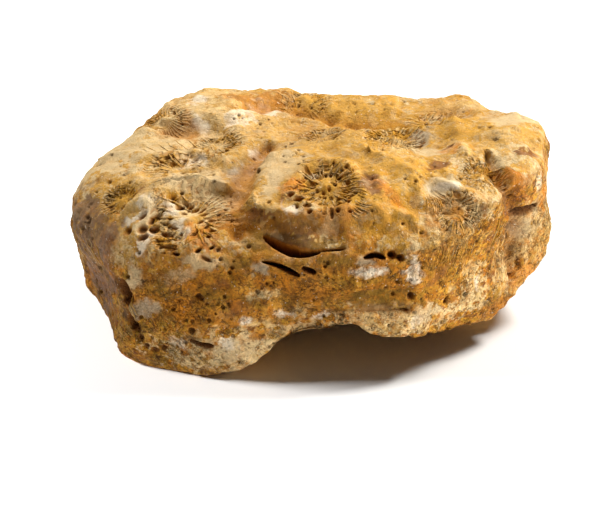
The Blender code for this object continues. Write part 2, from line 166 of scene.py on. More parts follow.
# raised ridges and sunk grooves: places along the line, half width, height, edge power
lines = {
    "plateau brow": (((-33, -18, 29), (-28.5, -17, 31.5), (-24, -14, 34), (-15, -15, 34.5)), 2.0, 1.4, 2),
    "gully": (((-7, 1, 37), (-9, -5, 36), (-11, -11, 35.5), (-12.3, -18, 33), (-12.2, -26, 28.5)),
              3.0, -2.4, 2),
    "knob left edge": (((-6.5, -6, 36.5), (-8.3, -12, 36), (-9.3, -19, 33)), 2.2, 0.9, 2),
    "knob brow": (((-9, -21, 32), (-1, -24, 31), (6, -25, 31), (13, -24, 32), (19, -24, 31)),
                  2.4, 1.1, 2),
    "knob crest": (((-9, -11, 36), (-2, -5, 36.5), (7, -2, 36.5), (11.5, -7.5, 36.4)), 1.7, 0.7, 2),
    "knob right crest": (((11.5, -7.5, 36.4), (19, -14, 35.7), (20.5, -19, 33.8),
                         (23, -23, 31.5)), 2.2, 0.9, 2),
    "right ridge": (((25, -16.5, 35), (27.5, -18.5, 34.3), (30, -20.5, 33)), 1.6, 1.2, 2),
    "right valley": (((33, -6, 36), (36.4, -14.8, 34.4), (39, -14.5, 30.4), (39.4, -10.3, 23),
                     (38.8, -8, 16.3),
                      (37, -6.7, 9.7), (33.8, -7.9, 5)), 2.4, -2.4, 2),
    "right cleft": (((38.5, -12.5, 25.5), (41, -9, 26), (43.6, -5.5, 26)), 0.9, -3.4, 4),
    "back rim groove": (((-14.6, 12.8, 37), (-8.2, 16.7, 37), (-1.7, 19, 37), (5.3, 13.9, 36.5)),
                        2.8, -1.6, 2),
    "left back groove": (((-27.3, 9.6, 36.7), (-21.3, 7.4, 36.3), (-15.4, 6.1, 36.1)), 2.6, -1.3, 2),
    "left back ridge": (((-27.7, 12.2, 37), (-19.2, 11.2, 37), (-11, 11, 36.6), (-3, 11, 36.8)),
                        2.0, 0.9, 2),
    "left terrace": (((-38, 1, 32), (-31.4, -1.3, 34.9), (-22.8, -3.9, 34.6),
                     (-17.3, 0.5, 35.5)), 1.8, 1.0, 2),
    "right back groove": (((5.7, 12.4, 36.4), (12.3, 11.6, 36), (18.6, 10.4, 36.4)), 3.0, -1.5, 2),
    "right back ridge": (((2, 16, 36.7), (8.3, 16.3, 36.7), (18, 17, 36.2)), 2.0, 1.0, 2),
    "pocket ridge": (((25.7, 10.6, 37.4), (27.9, 1.4, 36.9), (29.5, -8, 35.8)), 1.8, 1.2, 2),
    "long slit": (((-7.2, -26.6, 27.9), (-4.9, -27.2, 26.9), (-2.4, -28, 26.1), (0, -28.3, 25.8),
                  (2.6, -28, 26)), 0.72, -3.2, 4),
    "long slit mouth": (((-7.6, -26.2, 28.4), (-5.4, -26.8, 27.5), (-3, -27.5, 26.8),
                        (-1, -27.9, 26.4)), 0.6, -2.6, 4),
    "long slit tail": (((1, -28.1, 25.8), (3.4, -28, 26.3), (7, -27.8, 26.5)), 0.26, -1.4, 4),
    "lower slit": (((-7.4, -28.5, 24.6), (-5, -28.8, 24.1), (-2.4, -29.4, 22.9),
                   (-1, -29.8, 22.2)), 0.46, -3.0, 4),
    "short slit": (((-0.4, -29.2, 23.6), (1.8, -29.7, 22.8)), 0.46, -2.0, 4),
    "arched hollow": (((10.3, -28.8, 25.3), (12.3, -28.8, 25.8), (13.9, -28.8, 25.2)), 0.56, -2.2, 4),
    "recess groove": (((9, -28.8, 15.5), (14.9, -28, 15.1), (18.4, -27.2, 14.5)), 0.8, -1.4, 2),
    "recess ledge": (((6.8, -30.3, 20.4), (11.2, -30, 20.1), (16.3, -29.3, 19.9)), 0.9, 0.7, 2),
    "left cleft": (((-33, -25.5, 19), (-32.6, -25.4, 17), (-32.2, -25.4, 14.5)), 1.3, -3.4, 4),
    "left low cleft": (((-31.5, -25, 12), (-31.5, -24.5, 9.5)), 1.0, -2.4, 4),
    "left blade": (((-31.5, -25.8, 17), (-30.6, -25.8, 13.5), (-30, -25.8, 11)), 0.6, 0.9, 2),
    "foot crack": (((-21, -28.8, 9), (-19, -28.8, 8.4), (-16.4, -28.9, 8)), 0.45, -1.1, 4),
    "back shelf": (((-30, 27, 25), (-20, 31, 27), (-10, 33, 25), (2, 34, 28)), 2.4, -1.7, 2),
    "back shelf right": (((10, 33, 8), (20, 31, 13), (29, 27, 12), (36, 22, 16)), 2.2, -1.5, 2),
    "left crack": (((-44, -2, 25), (-45, 6, 23), (-44, 13, 18), (-41, 18, 17)), 2.0, -1.3, 2),
    "under groove": (((-8, -10, 4), (2, 4, 5), (10, 16, 4)), 2.0, -1.2, 2),
}

Cup = namedtuple("Cup", "place radius bowlDepth rim septa septumHeight boss gapDepth septumWidth")
cups = {
    "left cup": ((-21.5, -22.5, 30.5), 6.8, 1.0, 0.5, 22, 0.3, 0.5, 0.3, 0.5),
    "knob cup": ((4, -18.5, 34.8), 5.6, 0.9, 0.6, 26, 0.24, 0.5, 0.4, 0.34),
    "crest cup": ((17, 0.5, 37), 5.4, 0.8, 0.4, 28, 0.3, 0.5, 0.5, 0.46),
    "faint cup": ((3.5, 4, 37), 4.2, 0.5, 0.3, 26, 0.16, 0.2, 0.3, 0.34),
    "right cup": ((27, -22, 31.6), 4.4, 0.5, 0.2, 26, 0.2, 0.3, 0.4, 0.32),
    "shoulder cup": ((32.5, -13, 35.5), 3.6, 0.6, 0.3, 22, 0.16, 0.3, 0.4, 0.36),
    "plateau cup": ((-24, -8, 34.2), 5.0, 0.7, 0.3, 26, 0.2, 0.3, 0.6, 0.36),
    "small left cup": ((-34, -14.7, 30.8), 3.0, 1.0, 0.3, 18, 0.16, 0.2, 0.4, 0.3),
    "back left cup": ((-17.2, 1, 35.6), 4.6, 0.7, 0.3, 26, 0.16, 0.2, 0.3, 0.34),
    "far left cup": ((-26, 12, 36), 4.4, 0.6, 0.3, 24, 0.14, 0.2, 0.2, 0.34),
    "middle back cup": ((0, 21, 37), 4.8, 0.7, 0.3, 26, 0.18, 0.3, 0.3, 0.36),
    "right back cup": ((24, 11, 37), 4.8, 0.9, 0.4, 26, 0.24, 0.4, 0.5, 0.38),
    "right end cup": ((45, 6, 17), 5.0, 1.1, 0.5, 28, 0.32, 0.5, 0.8, 0.4),
    "back wall cup": ((-14, 32, 16), 5.6, 1.3, 0.6, 30, 0.34, 0.6, 0.8, 0.42),
    "back corner cup": ((32, 27, 22), 5.0, 1.0, 0.5, 28, 0.32, 0.5, 0.8, 0.4),
    "left end cup": ((-44, 8, 17), 5.2, 1.1, 0.5, 28, 0.32, 0.5, 0.8, 0.4),
    "left back cup": ((-33, 21, 24), 4.4, 0.9, 0.4, 26, 0.28, 0.4, 0.7, 0.38),
    "under cup": ((8, 8, 3), 5.0, 1.0, 0.3, 26, 0.26, 0.3, 0.6, 0.38),
    "back top cup": ((9, 33, 24), 4.8, 0.9, 0.4, 26, 0.28, 0.4, 0.6, 0.4),
    "right flank cup": ((41, 17, 27), 4.2, 0.8, 0.4, 24, 0.26, 0.4, 0.6, 0.4),
}
cups = {name: Cup(*form) for name, form in cups.items()}

# the form that the cups share, in shares of a cup's radius
cupForm = {
    "bowl": 0.8,
    "rimAt": 1.05,
    "rimWidth": 0.22,
    "boss": 0.28,
    "bossLumps": (0.5, 0.9, 3),  # strength, wavelength in millimetres, seed
    "gapsWithin": 0.7,  # gaps stop this far above and below the cup's middle
    # painted shade in the gaps between septa
    "gapShade": 0.65,
}

# place, radius, depth
pits = {
    "round hole": ((15.4, -28.8, 25.8), 0.9, 2.0),
    "round hole twin": ((16.9, -28.8, 25.2), 0.7, 1.4),
    "plateau pit": ((-28.5, -22, 27.6), 0.9, 1.1),
    "plateau pit twin": ((-27.6, -23, 26.6), 0.8, 1.0),
    "plateau left pit": ((-31, -21, 27), 0.8, 1.0),
    "brow pit": ((-25, -18, 32.5), 0.8, 0.9),
    "small cup pit": ((-33, -17, 29.6), 1.0, 1.0),
    "right low hole": ((25.3, -22.4, 14.3), 0.7, 1.2),
    "recess hole": ((19.2, -27.1, 16.9), 0.7, 1.2),
    "cleft row 1": ((-30.1, -24.7, 9.3), 0.6, 1.0),
    "cleft row 2": ((-29.4, -24.6, 7.8), 0.7, 1.0),
    "cleft row 3": ((-28.2, -24.6, 6.2), 0.6, 0.9),
    "cleft row 4": ((-26.9, -25, 5.3), 0.7, 0.9),
    "cleft row 5": ((-25.5, -26.2, 6.1), 0.6, 0.9),
    "foot pit": ((-20.4, -29.1, 11), 0.6, 1.0),
    "foot hole": ((-19, -30, 18), 0.6, 1.0),
    "back hole": ((4, 33, 12), 1.2, 1.6),
    "right end hole": ((44, 14, 24), 1.1, 1.4),
    "left end hole": ((-43, -4, 24), 1.0, 1.2),
}

# the open net of the two best cups: place, half length, half width, turn, depth of each hole
netHoles = {
    "left cup": (
        ((-22.5, -18.4, 31.6), 0.5, 0.75, 0, 1.6), ((-20.7, -18.1, 31.7), 0.32, 0.3, 0, 1.0),
        ((-20.8, -18.8, 31.4), 0.32, 0.26, 0, 1.0), ((-19.9, -18.7, 31.5), 0.3, 0.48, 10, 1.2),
        ((-18.8, -19, 31.5), 0.3, 0.52, -15, 1.2), ((-18.2, -20.2, 31.2), 0.3, 0.52, -35, 1.2),
        ((-17.6, -21.4, 30.8), 0.55, 0.3, 35, 1.2), ((-16.9, -22.3, 30.5), 0.55, 0.28, 22, 1.2),
        ((-18.9, -22.5, 30.2), 0.28, 0.55, -20, 1.1), ((-17.7, -24, 29.5), 0.42, 0.34, 10, 1.2),
        ((-16.5, -25, 28.9), 0.7, 0.34, 0, 1.2), ((-24.4, -21.2, 30.1), 0.5, 0.34, 0, 0.8),
        ((-23.9, -23.2, 28.9), 1.0, 0.32, 0, 1.3), ((-25, -22.3, 29.3), 0.75, 0.28, 5, 0.8),
        ((-25, -24.6, 27.8), 0.95, 0.36, 0, 1.1), ((-27.1, -21, 29.5), 0.65, 1.1, 0, 1.5),
        ((-27.2, -23, 28.2), 0.65, 0.75, 0, 1.2), ((-26, -19.3, 30.7), 0.8, 0.8, 0, 0.7),
        ((-19.5, -25, 28.5), 0.32, 0.5, -20, 1.1), ((-18.9, -27.9, 26), 0.36, 0.55, -45, 1.1),
        ((-16.7, -27.6, 26.7), 0.32, 0.5, -45, 1.0), ((-17.2, -25.9, 28.1), 0.36, 0.3, 0, 1.0),
        ((-22.8, -27.6, 25.3), 0.6, 0.28, 0, 1.1), ((-17.7, -28.8, 25), 1.1, 0.4, -20, 0.9),
        ((-24.3, -26.6, 25.9), 1.2, 0.28, 4, 1.0), ((-22.4, -24.9, 28.3), 0.3, 0.25, 0, 0.7),
        ((-29, -23.5, 26.5), 0.5, 0.6, 0, 0.8), ((-28.8, -20, 29.2), 0.4, 0.7, 0, 0.9),
        ((-21.8, -19.9, 30.9), 0.5, 0.3, 10, 0.7), ((-25.8, -25.6, 26.3), 0.6, 0.25, 0, 0.8),
    ),
    "knob cup": (
        ((4.9, -23.8, 31.3), 0.34, 0.95, -8, 1.6), ((7.8, -21.6, 32.8), 0.55, 0.34, 20, 1.3),
        ((6.9, -22.2, 32.5), 0.3, 0.3, 0, 1.0), ((6, -23.8, 31.5), 0.4, 0.36, 0, 1.1),
        ((8, -23.9, 31.5), 0.4, 0.28, 0, 0.9), ((7.7, -18.9, 34), 0.75, 0.24, -5, 0.8),
        ((4.9, -14.7, 35.3), 0.5, 0.45, 0, 0.8), ((6, -15.2, 35.1), 0.4, 0.4, 0, 0.8),
        ((7.9, -17, 34.7), 0.5, 0.36, 20, 0.8), ((2.1, -14.9, 35.2), 1.1, 0.4, -40, 0.8),
        ((2.7, -13.9, 35.5), 0.4, 0.4, 0, 0.7), ((1.2, -17.1, 34.5), 0.8, 0.8, 0, 0.6),
        ((-1, -21, 32.7), 0.95, 0.42, 0, 1.4), ((-1.6, -18.3, 33.9), 0.8, 0.32, 30, 0.8),
        ((-1.3, -22.4, 31.8), 0.32, 0.32, 0, 1.0), ((1.1, -23.6, 31.2), 0.5, 0.32, 20, 0.8),
        ((0.5, -22.5, 32), 0.7, 0.4, 0, 0.7), ((3.3, -19, 33.8), 0.34, 0.3, 0, 0.8),
        ((4.3, -18.2, 34.2), 0.36, 0.34, 0, 0.8), ((3.5, -20, 33.4), 0.36, 0.3, 0, 0.8),
        ((4.7, -20, 33.5), 0.34, 0.34, 0, 0.9), ((6, -20.5, 33.3), 0.36, 0.34, 0, 0.9),
        ((3.1, -21.9, 32.5), 0.4, 0.32, 0, 0.8), ((2.2, -18.6, 34), 0.3, 0.3, 0, 0.7),
        ((5.4, -17, 34.6), 0.34, 0.3, 0, 0.7), ((-0.6, -16.4, 34.6), 0.7, 0.3, 35, 0.8),
        ((9, -20.2, 33.5), 0.5, 0.28, 0, 0.8), ((-2.4, -19.9, 33.2), 0.6, 0.4, 0, 0.8),
    ),
}


def direction(bearing, rise):
    turn, lift = math.radians(bearing), math.radians(rise)
    return np.array([math.cos(lift) * math.cos(turn), math.cos(lift) * math.sin(turn), math.sin(lift)])


def toward(places):  # unit rays from the stone's middle
    rays = np.atleast_2d(np.array(places, float)) - np.array(stone["middle"])
    return rays / np.linalg.norm(rays, axis=1, keepdims=True)


def bump(share, power):  # one at the middle, fading out past a share of one
    return np.exp(-np.abs(share) ** power)


def smoothMax(a, b, blend):
    mix = np.clip(0.5 + 0.5 * (a - b) / blend, 0.0, 1.0)
    return b + (a - b) * mix + blend * mix * (1.0 - mix)


def smoothStep(value, low, high):
    share = np.clip((value - low) / (high - low), 0.0, 1.0)
    return share * share * (3.0 - 2.0 * share)


def blockReach(rays):  # the rounded block inside the ring of facets
    total = np.zeros(len(rays))
    for bearing, rise, distance in facets.values():
        total += np.maximum(0.0, rays @ direction(bearing, rise) / distance) ** stone["rounding"]
    return total ** (-1.0 / stone["rounding"])


def tangents(ray, turn):  # level, and up the slope, both turned
    level = np.array([-ray[1], ray[0], 0.0])
    level /= np.linalg.norm(level) + 1e-9
    upward = np.cross(ray, level)
    angle = math.radians(turn)
    return (level * math.cos(angle) + upward * math.sin(angle),
            upward * math.cos(angle) - level * math.sin(angle))


def underside(points):  # height of the worn underside above the floor
    height = np.full(len(points), stone["underLevel"])
    for x, y, halfLength, halfWidth, turn, rise, power in underHollows.values():
        angle = math.radians(turn)
        dx, dy = points[:, 0] - x, points[:, 1] - y
        along = (dx * math.cos(angle) + dy * math.sin(angle)) / halfLength
        across = (dy * math.cos(angle) - dx * math.sin(angle)) / halfWidth
        height += rise * bump(along, power) * bump(across, power)
    return height


def bigForm(rays):  # block, lumps and underside, without the coral
    reach = blockReach(rays)
    block = rays * reach[:, None]
    lift = np.zeros(len(rays))
    for place, halfLength, halfWidth, turn, height, power in lumps.values():
        ray = toward(place)[0]
        level, upward = tangents(ray, turn)
        offset = block - ray * blockReach(ray[None])[0]
        roundOff = np.abs((offset @ level) / halfLength) ** power
        roundOff += np.abs((offset @ upward) / halfWidth) ** power
        roundOff += ((offset @ ray) / (stone["lumpDepth"] * max(halfLength, halfWidth))) ** 2
        lift += height * np.exp(-roundOff)
    points = rays * (reach + lift)[:, None] + np.array(stone["middle"])
    points[:, 2] = smoothMax(points[:, 2], underside(points), stone["underBlend"])
    points[:, 2] = np.maximum(points[:, 2], 0.0)
    return points


def onSurface(places):
    return bigForm(toward(places))


def distanceFrom(points, place):
    return np.linalg.norm(points - onSurface(place)[0], axis=1)


def around(points, place, turn=0):  # how far along, up the slope and out from a place on the stone
    ray = toward(place)[0]
    level, upward = tangents(ray, turn)
    offset = points - onSurface(place)[0]
    return offset @ level, offset @ upward, offset @ ray


def curveThrough(places, steps=10):  # Catmull-Rom
    knots = np.array([places[0], *places, places[-1]], float)
    curve = []
    for before, start, end, after in zip(knots, knots[1:], knots[2:], knots[3:]):
        for t in np.linspace(0.0, 1.0, steps, endpoint=False):
            curve.append(0.5 * (2 * start + (end - before) * t
                                + (2 * before - 5 * start + 4 * end - after) * t ** 2
                                + (3 * start - before - 3 * end + after) * t ** 3))
    curve.append(knots[-1])
    return np.array(curve)


def widthsAway(points, line, halfWidth):  # from a line that narrows to its ends
    nearest = np.full(len(points), np.inf)
    count = len(line) - 1
    for number, (start, end) in enumerate(zip(line, line[1:])):
        run = end - start
        share = np.clip((points - start) @ run / (run @ run + 1e-9), 0.0, 1.0)
        passed = number + edges["endShare"] + (1.0 - 2.0 * edges["endShare"]) * share
        width = halfWidth * np.sqrt(np.sin(math.pi * passed / count))
        away = np.linalg.norm(points - start - share[:, None] * run, axis=1) / width
        nearest = np.minimum(nearest, away)
    return nearest


def latticeValue(cell, seed):  # a fixed value from 0 to 1 for each cell
    mixed = (cell[:, 0] * 73856093) ^ (cell[:, 1] * 19349663) ^ (cell[:, 2] * 83492791) ^ (seed * 2654435)
    mixed = (mixed ^ (mixed >> 13)) * 1274126177 & 0x7FFFFFFF
    return (mixed ^ (mixed >> 16)) % 65536 / 65535.0


def noise(points, wavelength, seed):  # smooth, from -1 to 1
    scaled = points / wavelength
    cell = np.floor(scaled).astype(np.int64)
    part = scaled - cell
    part = part * part * (3.0 - 2.0 * part)
    total = np.zeros(len(points))
    for corner in np.ndindex(2, 2, 2):
        weight = np.prod(np.where(corner, part, 1.0 - part), axis=1)
        total += weight * latticeValue(cell + corner, seed)
    return 2.0 * total - 1.0


def linesRelief(points):  # height, and the painted shade inside the slits
    height, slit = np.zeros(len(points)), np.zeros(len(points))
    for places, halfWidth, rise, power in lines.values():
        line = onSurface(curveThrough(places))
        middle = line.mean(axis=0)
        reach = np.linalg.norm(line - middle, axis=1).max() + edges["reach"] * halfWidth
        near = np.linalg.norm(points - middle, axis=1) < reach
        isSlit = power == edges["slitPower"]
        wave = noise(points[near], edges["ragWavelength"], edges["ragSeed"])
        away = widthsAway(points[near], line, halfWidth) * (1.0 + edges["ragged"][isSlit] * wave)
        height[near] += rise * bump(away, power)
        if isSlit:
            slit[near] = np.maximum(slit[near], bump(edges["slitShade"] * away, power))
    return height, slit


def pitsRelief(points):
    height, hole = np.zeros(len(points)), np.zeros(len(points))
    for place, radius, depth in pits.values():
        share = bump(distanceFrom(points, place) / radius, 4)
        height -= depth * share
        hole = np.maximum(hole, share)
    return height, hole


def polishedShare(points):  # where the bare grey stone is rubbed smooth
    share = np.zeros(len(points))
    for shade, place, halfLength, halfWidth, turn, strength in stains:
        if shade in ("greyBeige", "grey"):
            along, up, out = around(points, place, turn)
            away = np.hypot(np.hypot(along / halfLength, up / halfWidth),
                            distanceFrom(points, place) / (2.0 * max(halfLength, halfWidth)))
            share = np.maximum(share, strength * smoothStep(away, *stone["wornEdge"]))
    return share


def grainRelief(points):
    height = np.zeros(len(points))
    rough = 1.0 - stone["wornAway"] * polishedShare(points)
    for number, (wavelength, lift, creased) in enumerate(stone["grain"]):
        wave = noise(points, wavelength, stone["grainSeed"] + number)
        layer = lift * ((1.0 - creased) * wave + creased * (2.0 * np.abs(wave) - stone["creaseLevel"]))
        height += layer * rough if number >= stone["wornFrom"] else layer
    return height


# The septa are the thin walls that run out from the middle of each cup, with bars between them.

septa = {
    "cupReach": 1.9,  # a cup is felt this many radii out
    "mouth": 0.26,  # the septa stop this far in, as a share of the cup's radius
    "unevenBearing": 0.3,  # of the space between septa
    "shorter": 0.2,  # every other septum starts this much further out
    "inner": (-0.04, 0.1),  # from and to, round where it starts
    "outer": (0.85, 1.18),
    "strength": (0.45, 1.1),
    "gapHoles": 4,  # holes along the space between two septa
    "gapsTo": 1.2,
    "wall": 0.6,  # how much of a septum's width a hole leaves
    "bar": 0.015,  # half of the bar between two holes
    "smallestHole": (0.025, 0.015),  # half length, half width
    "holeDepth": (0.4, 1.0),
    "thinnest": 0.6,  # width of a septum with no strength
    "barSize": (0.3, 0.7),  # height and width of a bar, as shares of a septum's
    "seed": 11,
}


def planSepta(name):  # each septum: bearing, inner end and outer end in cup radii, strength
    chance = np.random.default_rng(septa["seed"] + list(cups).index(name))
    count = cups[name].septa
    bearings = (np.arange(count) + septa["unevenBearing"] * chance.uniform(-1, 1, count)) * math.tau / count
    shorter = np.where(np.arange(count) % 2, septa["shorter"], 0.0)
    inner = septa["mouth"] + shorter + chance.uniform(*septa["inner"], count)
    outer = chance.uniform(*septa["outer"], count)
    strength = chance.uniform(*septa["strength"], count)
    return bearings, inner, outer, strength


def planGaps(name):  # between neighbouring septa: oval holes, and the bars that part them
    chance = np.random.default_rng(septa["seed"] * 7 + list(cups).index(name))
    bearings, inner, outer, strength = planSepta(name)
    wall = septa["wall"] * cups[name].septumWidth / cups[name].radius
    holes, bars = [], []
    for here, after, start, end in zip(bearings, np.roll(bearings, -1), inner, outer):
        space = (after - here) % math.tau
        cuts = np.sort(chance.uniform(start, min(end, septa["gapsTo"]), septa["gapHoles"] + 1))
        bars += [(here, here + space, cut) for cut in cuts[1:-1]]
        for low, high in zip(cuts, cuts[1:]):
            share = (low + high) / 2
            halfLength, halfWidth = (high - low) / 2 - septa["bar"], (space * share - wall) / 2
            if halfLength > septa["smallestHole"][0] and halfWidth > septa["smallestHole"][1]:
                depth = chance.uniform(*septa["holeDepth"])
                holes.append((here + space / 2, share, halfLength, halfWidth, depth))
    return holes, bars


def cupRelief(name, points):  # height, and the painted shade in the gaps between septa
    cup = cups[name]
    u, v, deep = (way / cup.radius for way in around(points, cup.place))
    across = np.hypot(u, v)
    lumps, wavelength, seed = cupForm["bossLumps"]
    height = -cup.bowlDepth * bump(across / cupForm["bowl"], 4)
    height += cup.rim * bump((across - cupForm["rimAt"]) / cupForm["rimWidth"], 2)
    height += cup.boss * bump(across / cupForm["boss"], 2) * (
        1.0 + lumps * noise(points - onSurface(cup.place)[0], wavelength, seed))
    gaps = np.zeros(len(points))
    for bearing, share, halfLength, halfWidth, depth in planGaps(name)[0]:
        along = u * math.cos(bearing) + v * math.sin(bearing)
        side = v * math.cos(bearing) - u * math.sin(bearing)
        hole = depth * bump(np.hypot((along - share) / halfLength, side / halfWidth), 4)
        gaps = np.maximum(gaps, hole)
    gaps *= np.abs(deep) < cupForm["gapsWithin"]
    return height - cup.gapDepth * gaps, cupForm["gapShade"] * gaps


def cupPlaces(points):  # millimetres along and up the slope from the nearest cup's middle, and radii away
    nearest = np.full(len(points), np.inf)
    places = np.zeros((len(points), 3))
    for cup in cups.values():
        away = distanceFrom(points, cup.place) / cup.radius
        along, up, out = around(points, cup.place)
        closer = away < nearest
        nearest[closer] = away[closer]
        places[closer] = np.column_stack([along, up, away])[closer]
    return places


def cupsRelief(points):
    height, gaps = np.zeros(len(points)), np.zeros(len(points))
    for name, cup in cups.items():
        near = distanceFrom(points, cup.place) < septa["cupReach"] * cup.radius
        lift, holes = cupRelief(name, points[near])
        height[near] += lift
        gaps[near] = np.maximum(gaps[near], holes)
    for place, halfLength, halfWidth, turn, depth in sum(netHoles.values(), ()):
        near = distanceFrom(points, place) < 2.0 * max(halfLength, halfWidth)
        along, up, out = around(points[near], place, turn)
        hole = bump(np.hypot(along / halfLength, up / halfWidth), 4)
        height[near] -= depth * hole
        gaps[near] = np.maximum(gaps[near], hole * min(1.0, stone["netShade"] * depth))
    return height, gaps


def readPoints(mesh, what):
    values = np.empty(len(mesh.vertices) * 3)
    mesh.vertices.foreach_get(what, values)
    return values.reshape(-1, 3)


def writePoints(mesh, points):
    mesh.vertices.foreach_set("co", points.ravel())
    mesh.update()


def fitToFrame(points, low, high):  # into the solid model's box
    return boxLow + (points - low) * (boxHigh - boxLow) / (high - low)


# kind and key of a layer, by how many numbers it holds for each point
layerKinds = {1: ("FLOAT", "value"), 3: ("FLOAT_VECTOR", "vector"), 4: ("FLOAT_COLOR", "color")}


def writeLayer(mesh, name, values):
    kind, key = layerKinds[values[0].size]
    layer = mesh.attributes.new(name, kind, "POINT")
    layer.data.foreach_set(key, np.asarray(values, np.float32).ravel())


def carveStone():
    level = stone["ballLevel"]
    bpy.ops.mesh.primitive_ico_sphere_add(subdivisions=level, radius=1.0)
    ball = bpy.context.object
    rays = readPoints(ball.data, "co")
    rays /= np.linalg.norm(rays, axis=1, keepdims=True)
    form = bigForm(rays)
    writePoints(ball.data, form)
    outward = readPoints(ball.data, "normal")
    cupHeight, gaps = cupsRelief(form)
    sunk, slit = linesRelief(form)
    pitted, hole = pitsRelief(form)
    # painted shade in the cup gaps, net holes, slits and pits, kept as the hollow layer
    gaps = np.maximum(gaps, np.maximum(slit, hole * stone["holeShade"]))
    fine = sunk + pitted + grainRelief(form)
    height = (fine + cupHeight) * smoothStep(form[:, 2], 0.0, stone["padFade"])
    points = form + outward * height[:, None]
    points[:, 2] = np.maximum(points[:, 2], 0.0)
    low, high = points.min(axis=0), points.max(axis=0)
    writePoints(ball.data, fitToFrame(points, low, high))
    layers = {
        "hollow": gaps,
        "fineRelief": fine,
        "upward": outward[:, 2],
        "cupPlace": cupPlaces(form),
        "padFade": smoothStep(form[:, 2], stone["poresFrom"], 2.0 * stone["padFade"]),
    }
    for name, values in layers.items():
        writeLayer(ball.data, name, values)
    return ball, (low, high)


def keepPlain(thing, modifier):  # keeps the modifier's result as a plain mesh
    mesh = bpy.data.meshes.new_from_object(thing.evaluated_get(bpy.context.evaluated_depsgraph_get()))
    thing.modifiers.remove(modifier)
    thing.data = mesh


def thinOut(thing):
    thin = thing.modifiers.new("fewer faces", "DECIMATE")
    thin.ratio = stone["triangles"] / len(thing.data.polygons)
    keepPlain(thing, thin)


def addToScene(name, data):
    made = bpy.data.objects.new(name, data)
    bpy.context.scene.collection.objects.link(made)
    return made


class Wire:  # a node socket that can be added, multiplied and so on
    def __init__(self, tree, socket=None):
        self.tree, self.socket = tree, socket

    def node(self, kind, settings=None, sockets=None, output=0):
        made = self.tree.nodes.new(kind)
        for name, value in (settings or {}).items():
            if name == "stops":
                self.setStops(made.color_ramp, value)
            else:
                setattr(made, name, value)
        for name, value in (sockets or {}).items():
            if isinstance(value, Wire):
                self.tree.links.new(value.socket, made.inputs[name])
            else:
                made.inputs[name].default_value = value
        return Wire(self.tree, made.outputs[output])

    def setStops(self, ramp, stops):
        while len(ramp.elements) < len(stops):
            ramp.elements.new(1.0)
        for stop, (position, colour) in zip(ramp.elements, stops):
            stop.position, stop.color = position, (*colour, 1.0)

    def other(self, output):  # another output of the same node
        return Wire(self.tree, self.socket.node.outputs[output])

    def maths(self, operation, *values):
        return self.node("ShaderNodeMath", {"operation": operation}, dict(enumerate(values)))

    def vector(self, operation, sockets, output=0):
        return self.node("ShaderNodeVectorMath", {"operation": operation}, sockets, output)

    def __add__(self, other):
        return self.maths("ADD", self, other)

    def __sub__(self, other):
        return self.maths("SUBTRACT", self, other)

    def __rsub__(self, other):
        return self.maths("SUBTRACT", other, self)

    def __mul__(self, other):
        return self.maths("MULTIPLY", self, other)

    def __truediv__(self, other):
        return self.maths("DIVIDE", self, other)

    def __rtruediv__(self, other):
        return self.maths("DIVIDE", other, self)

    __radd__, __rmul__ = __add__, __mul__

    def clamped(self, low=0.0, high=1.0):
        return self.node("ShaderNodeClamp", {}, {"Value": self, "Min": low, "Max": high})

    def step(self, low, high):  # smooth, from 0 at low to 1 at high
        return self.node("ShaderNodeMapRange", {"interpolation_type": "SMOOTHSTEP"},
                         {"Value": self, "From Min": low, "From Max": high})

    def mixed(self, first, second):  # self is the factor between two colours
        return self.node("ShaderNodeMix", {"data_type": "RGBA"}, {0: self, 6: first, 7: second}, 2)


def newTree(name, inputs):  # a geometry tree's input and output nodes
    kinds = {float: "Float", int: "Int"}  # an input is given as a number, or as another kind's name
    tree = bpy.data.node_groups.new(name, "GeometryNodeTree")
    tree.interface.new_socket("Geometry", in_out="INPUT", socket_type="NodeSocketGeometry")
    tree.interface.new_socket("Geometry", in_out="OUTPUT", socket_type="NodeSocketGeometry")
    for label, value in inputs.items():
        kind = kinds.get(type(value), value)
        tree.interface.new_socket(label, in_out="INPUT", socket_type=f"NodeSocket{kind}")
    return Wire(tree).node("NodeGroupInput"), tree.nodes.new("NodeGroupOutput")


def endTree(start, end, geometry):
    whole = start.node("GeometryNodeRealizeInstances", {}, {"Geometry": geometry})
    finished = start.node("GeometryNodeSetMaterial", {},
                          {"Geometry": whole, "Material": start.other("Material")})
    start.tree.links.new(finished.socket, end.inputs[0])
    return start.tree


def markPoints(start, geometry, name, value):
    return start.node("GeometryNodeStoreNamedAttribute", {"data_type": "FLOAT", "domain": "POINT"},
                      {"Geometry": geometry, "Name": name, "Value": value})


def runTree(thing, tree, values):  # sets the named inputs and keeps the result
    nodes = thing.modifiers.new(tree.name, "NODES")
    nodes.node_group = tree
    for socket in tree.interface.items_tree:
        if socket.name in values:
            nodes[socket.identifier] = values[socket.name]
    keepPlain(thing, nodes)


# small round pores worn or grown into the stone, in clusters
pores = {
    "Density": 5.0e5,  # per square metre where they are thickest
    "Cluster": 0.006,  # metres across
    "Smallest": 0.00014,
    "Largest": 0.00055,
    "Depth": 1.0,  # of a pore's radius
    "Seed": 4,
}


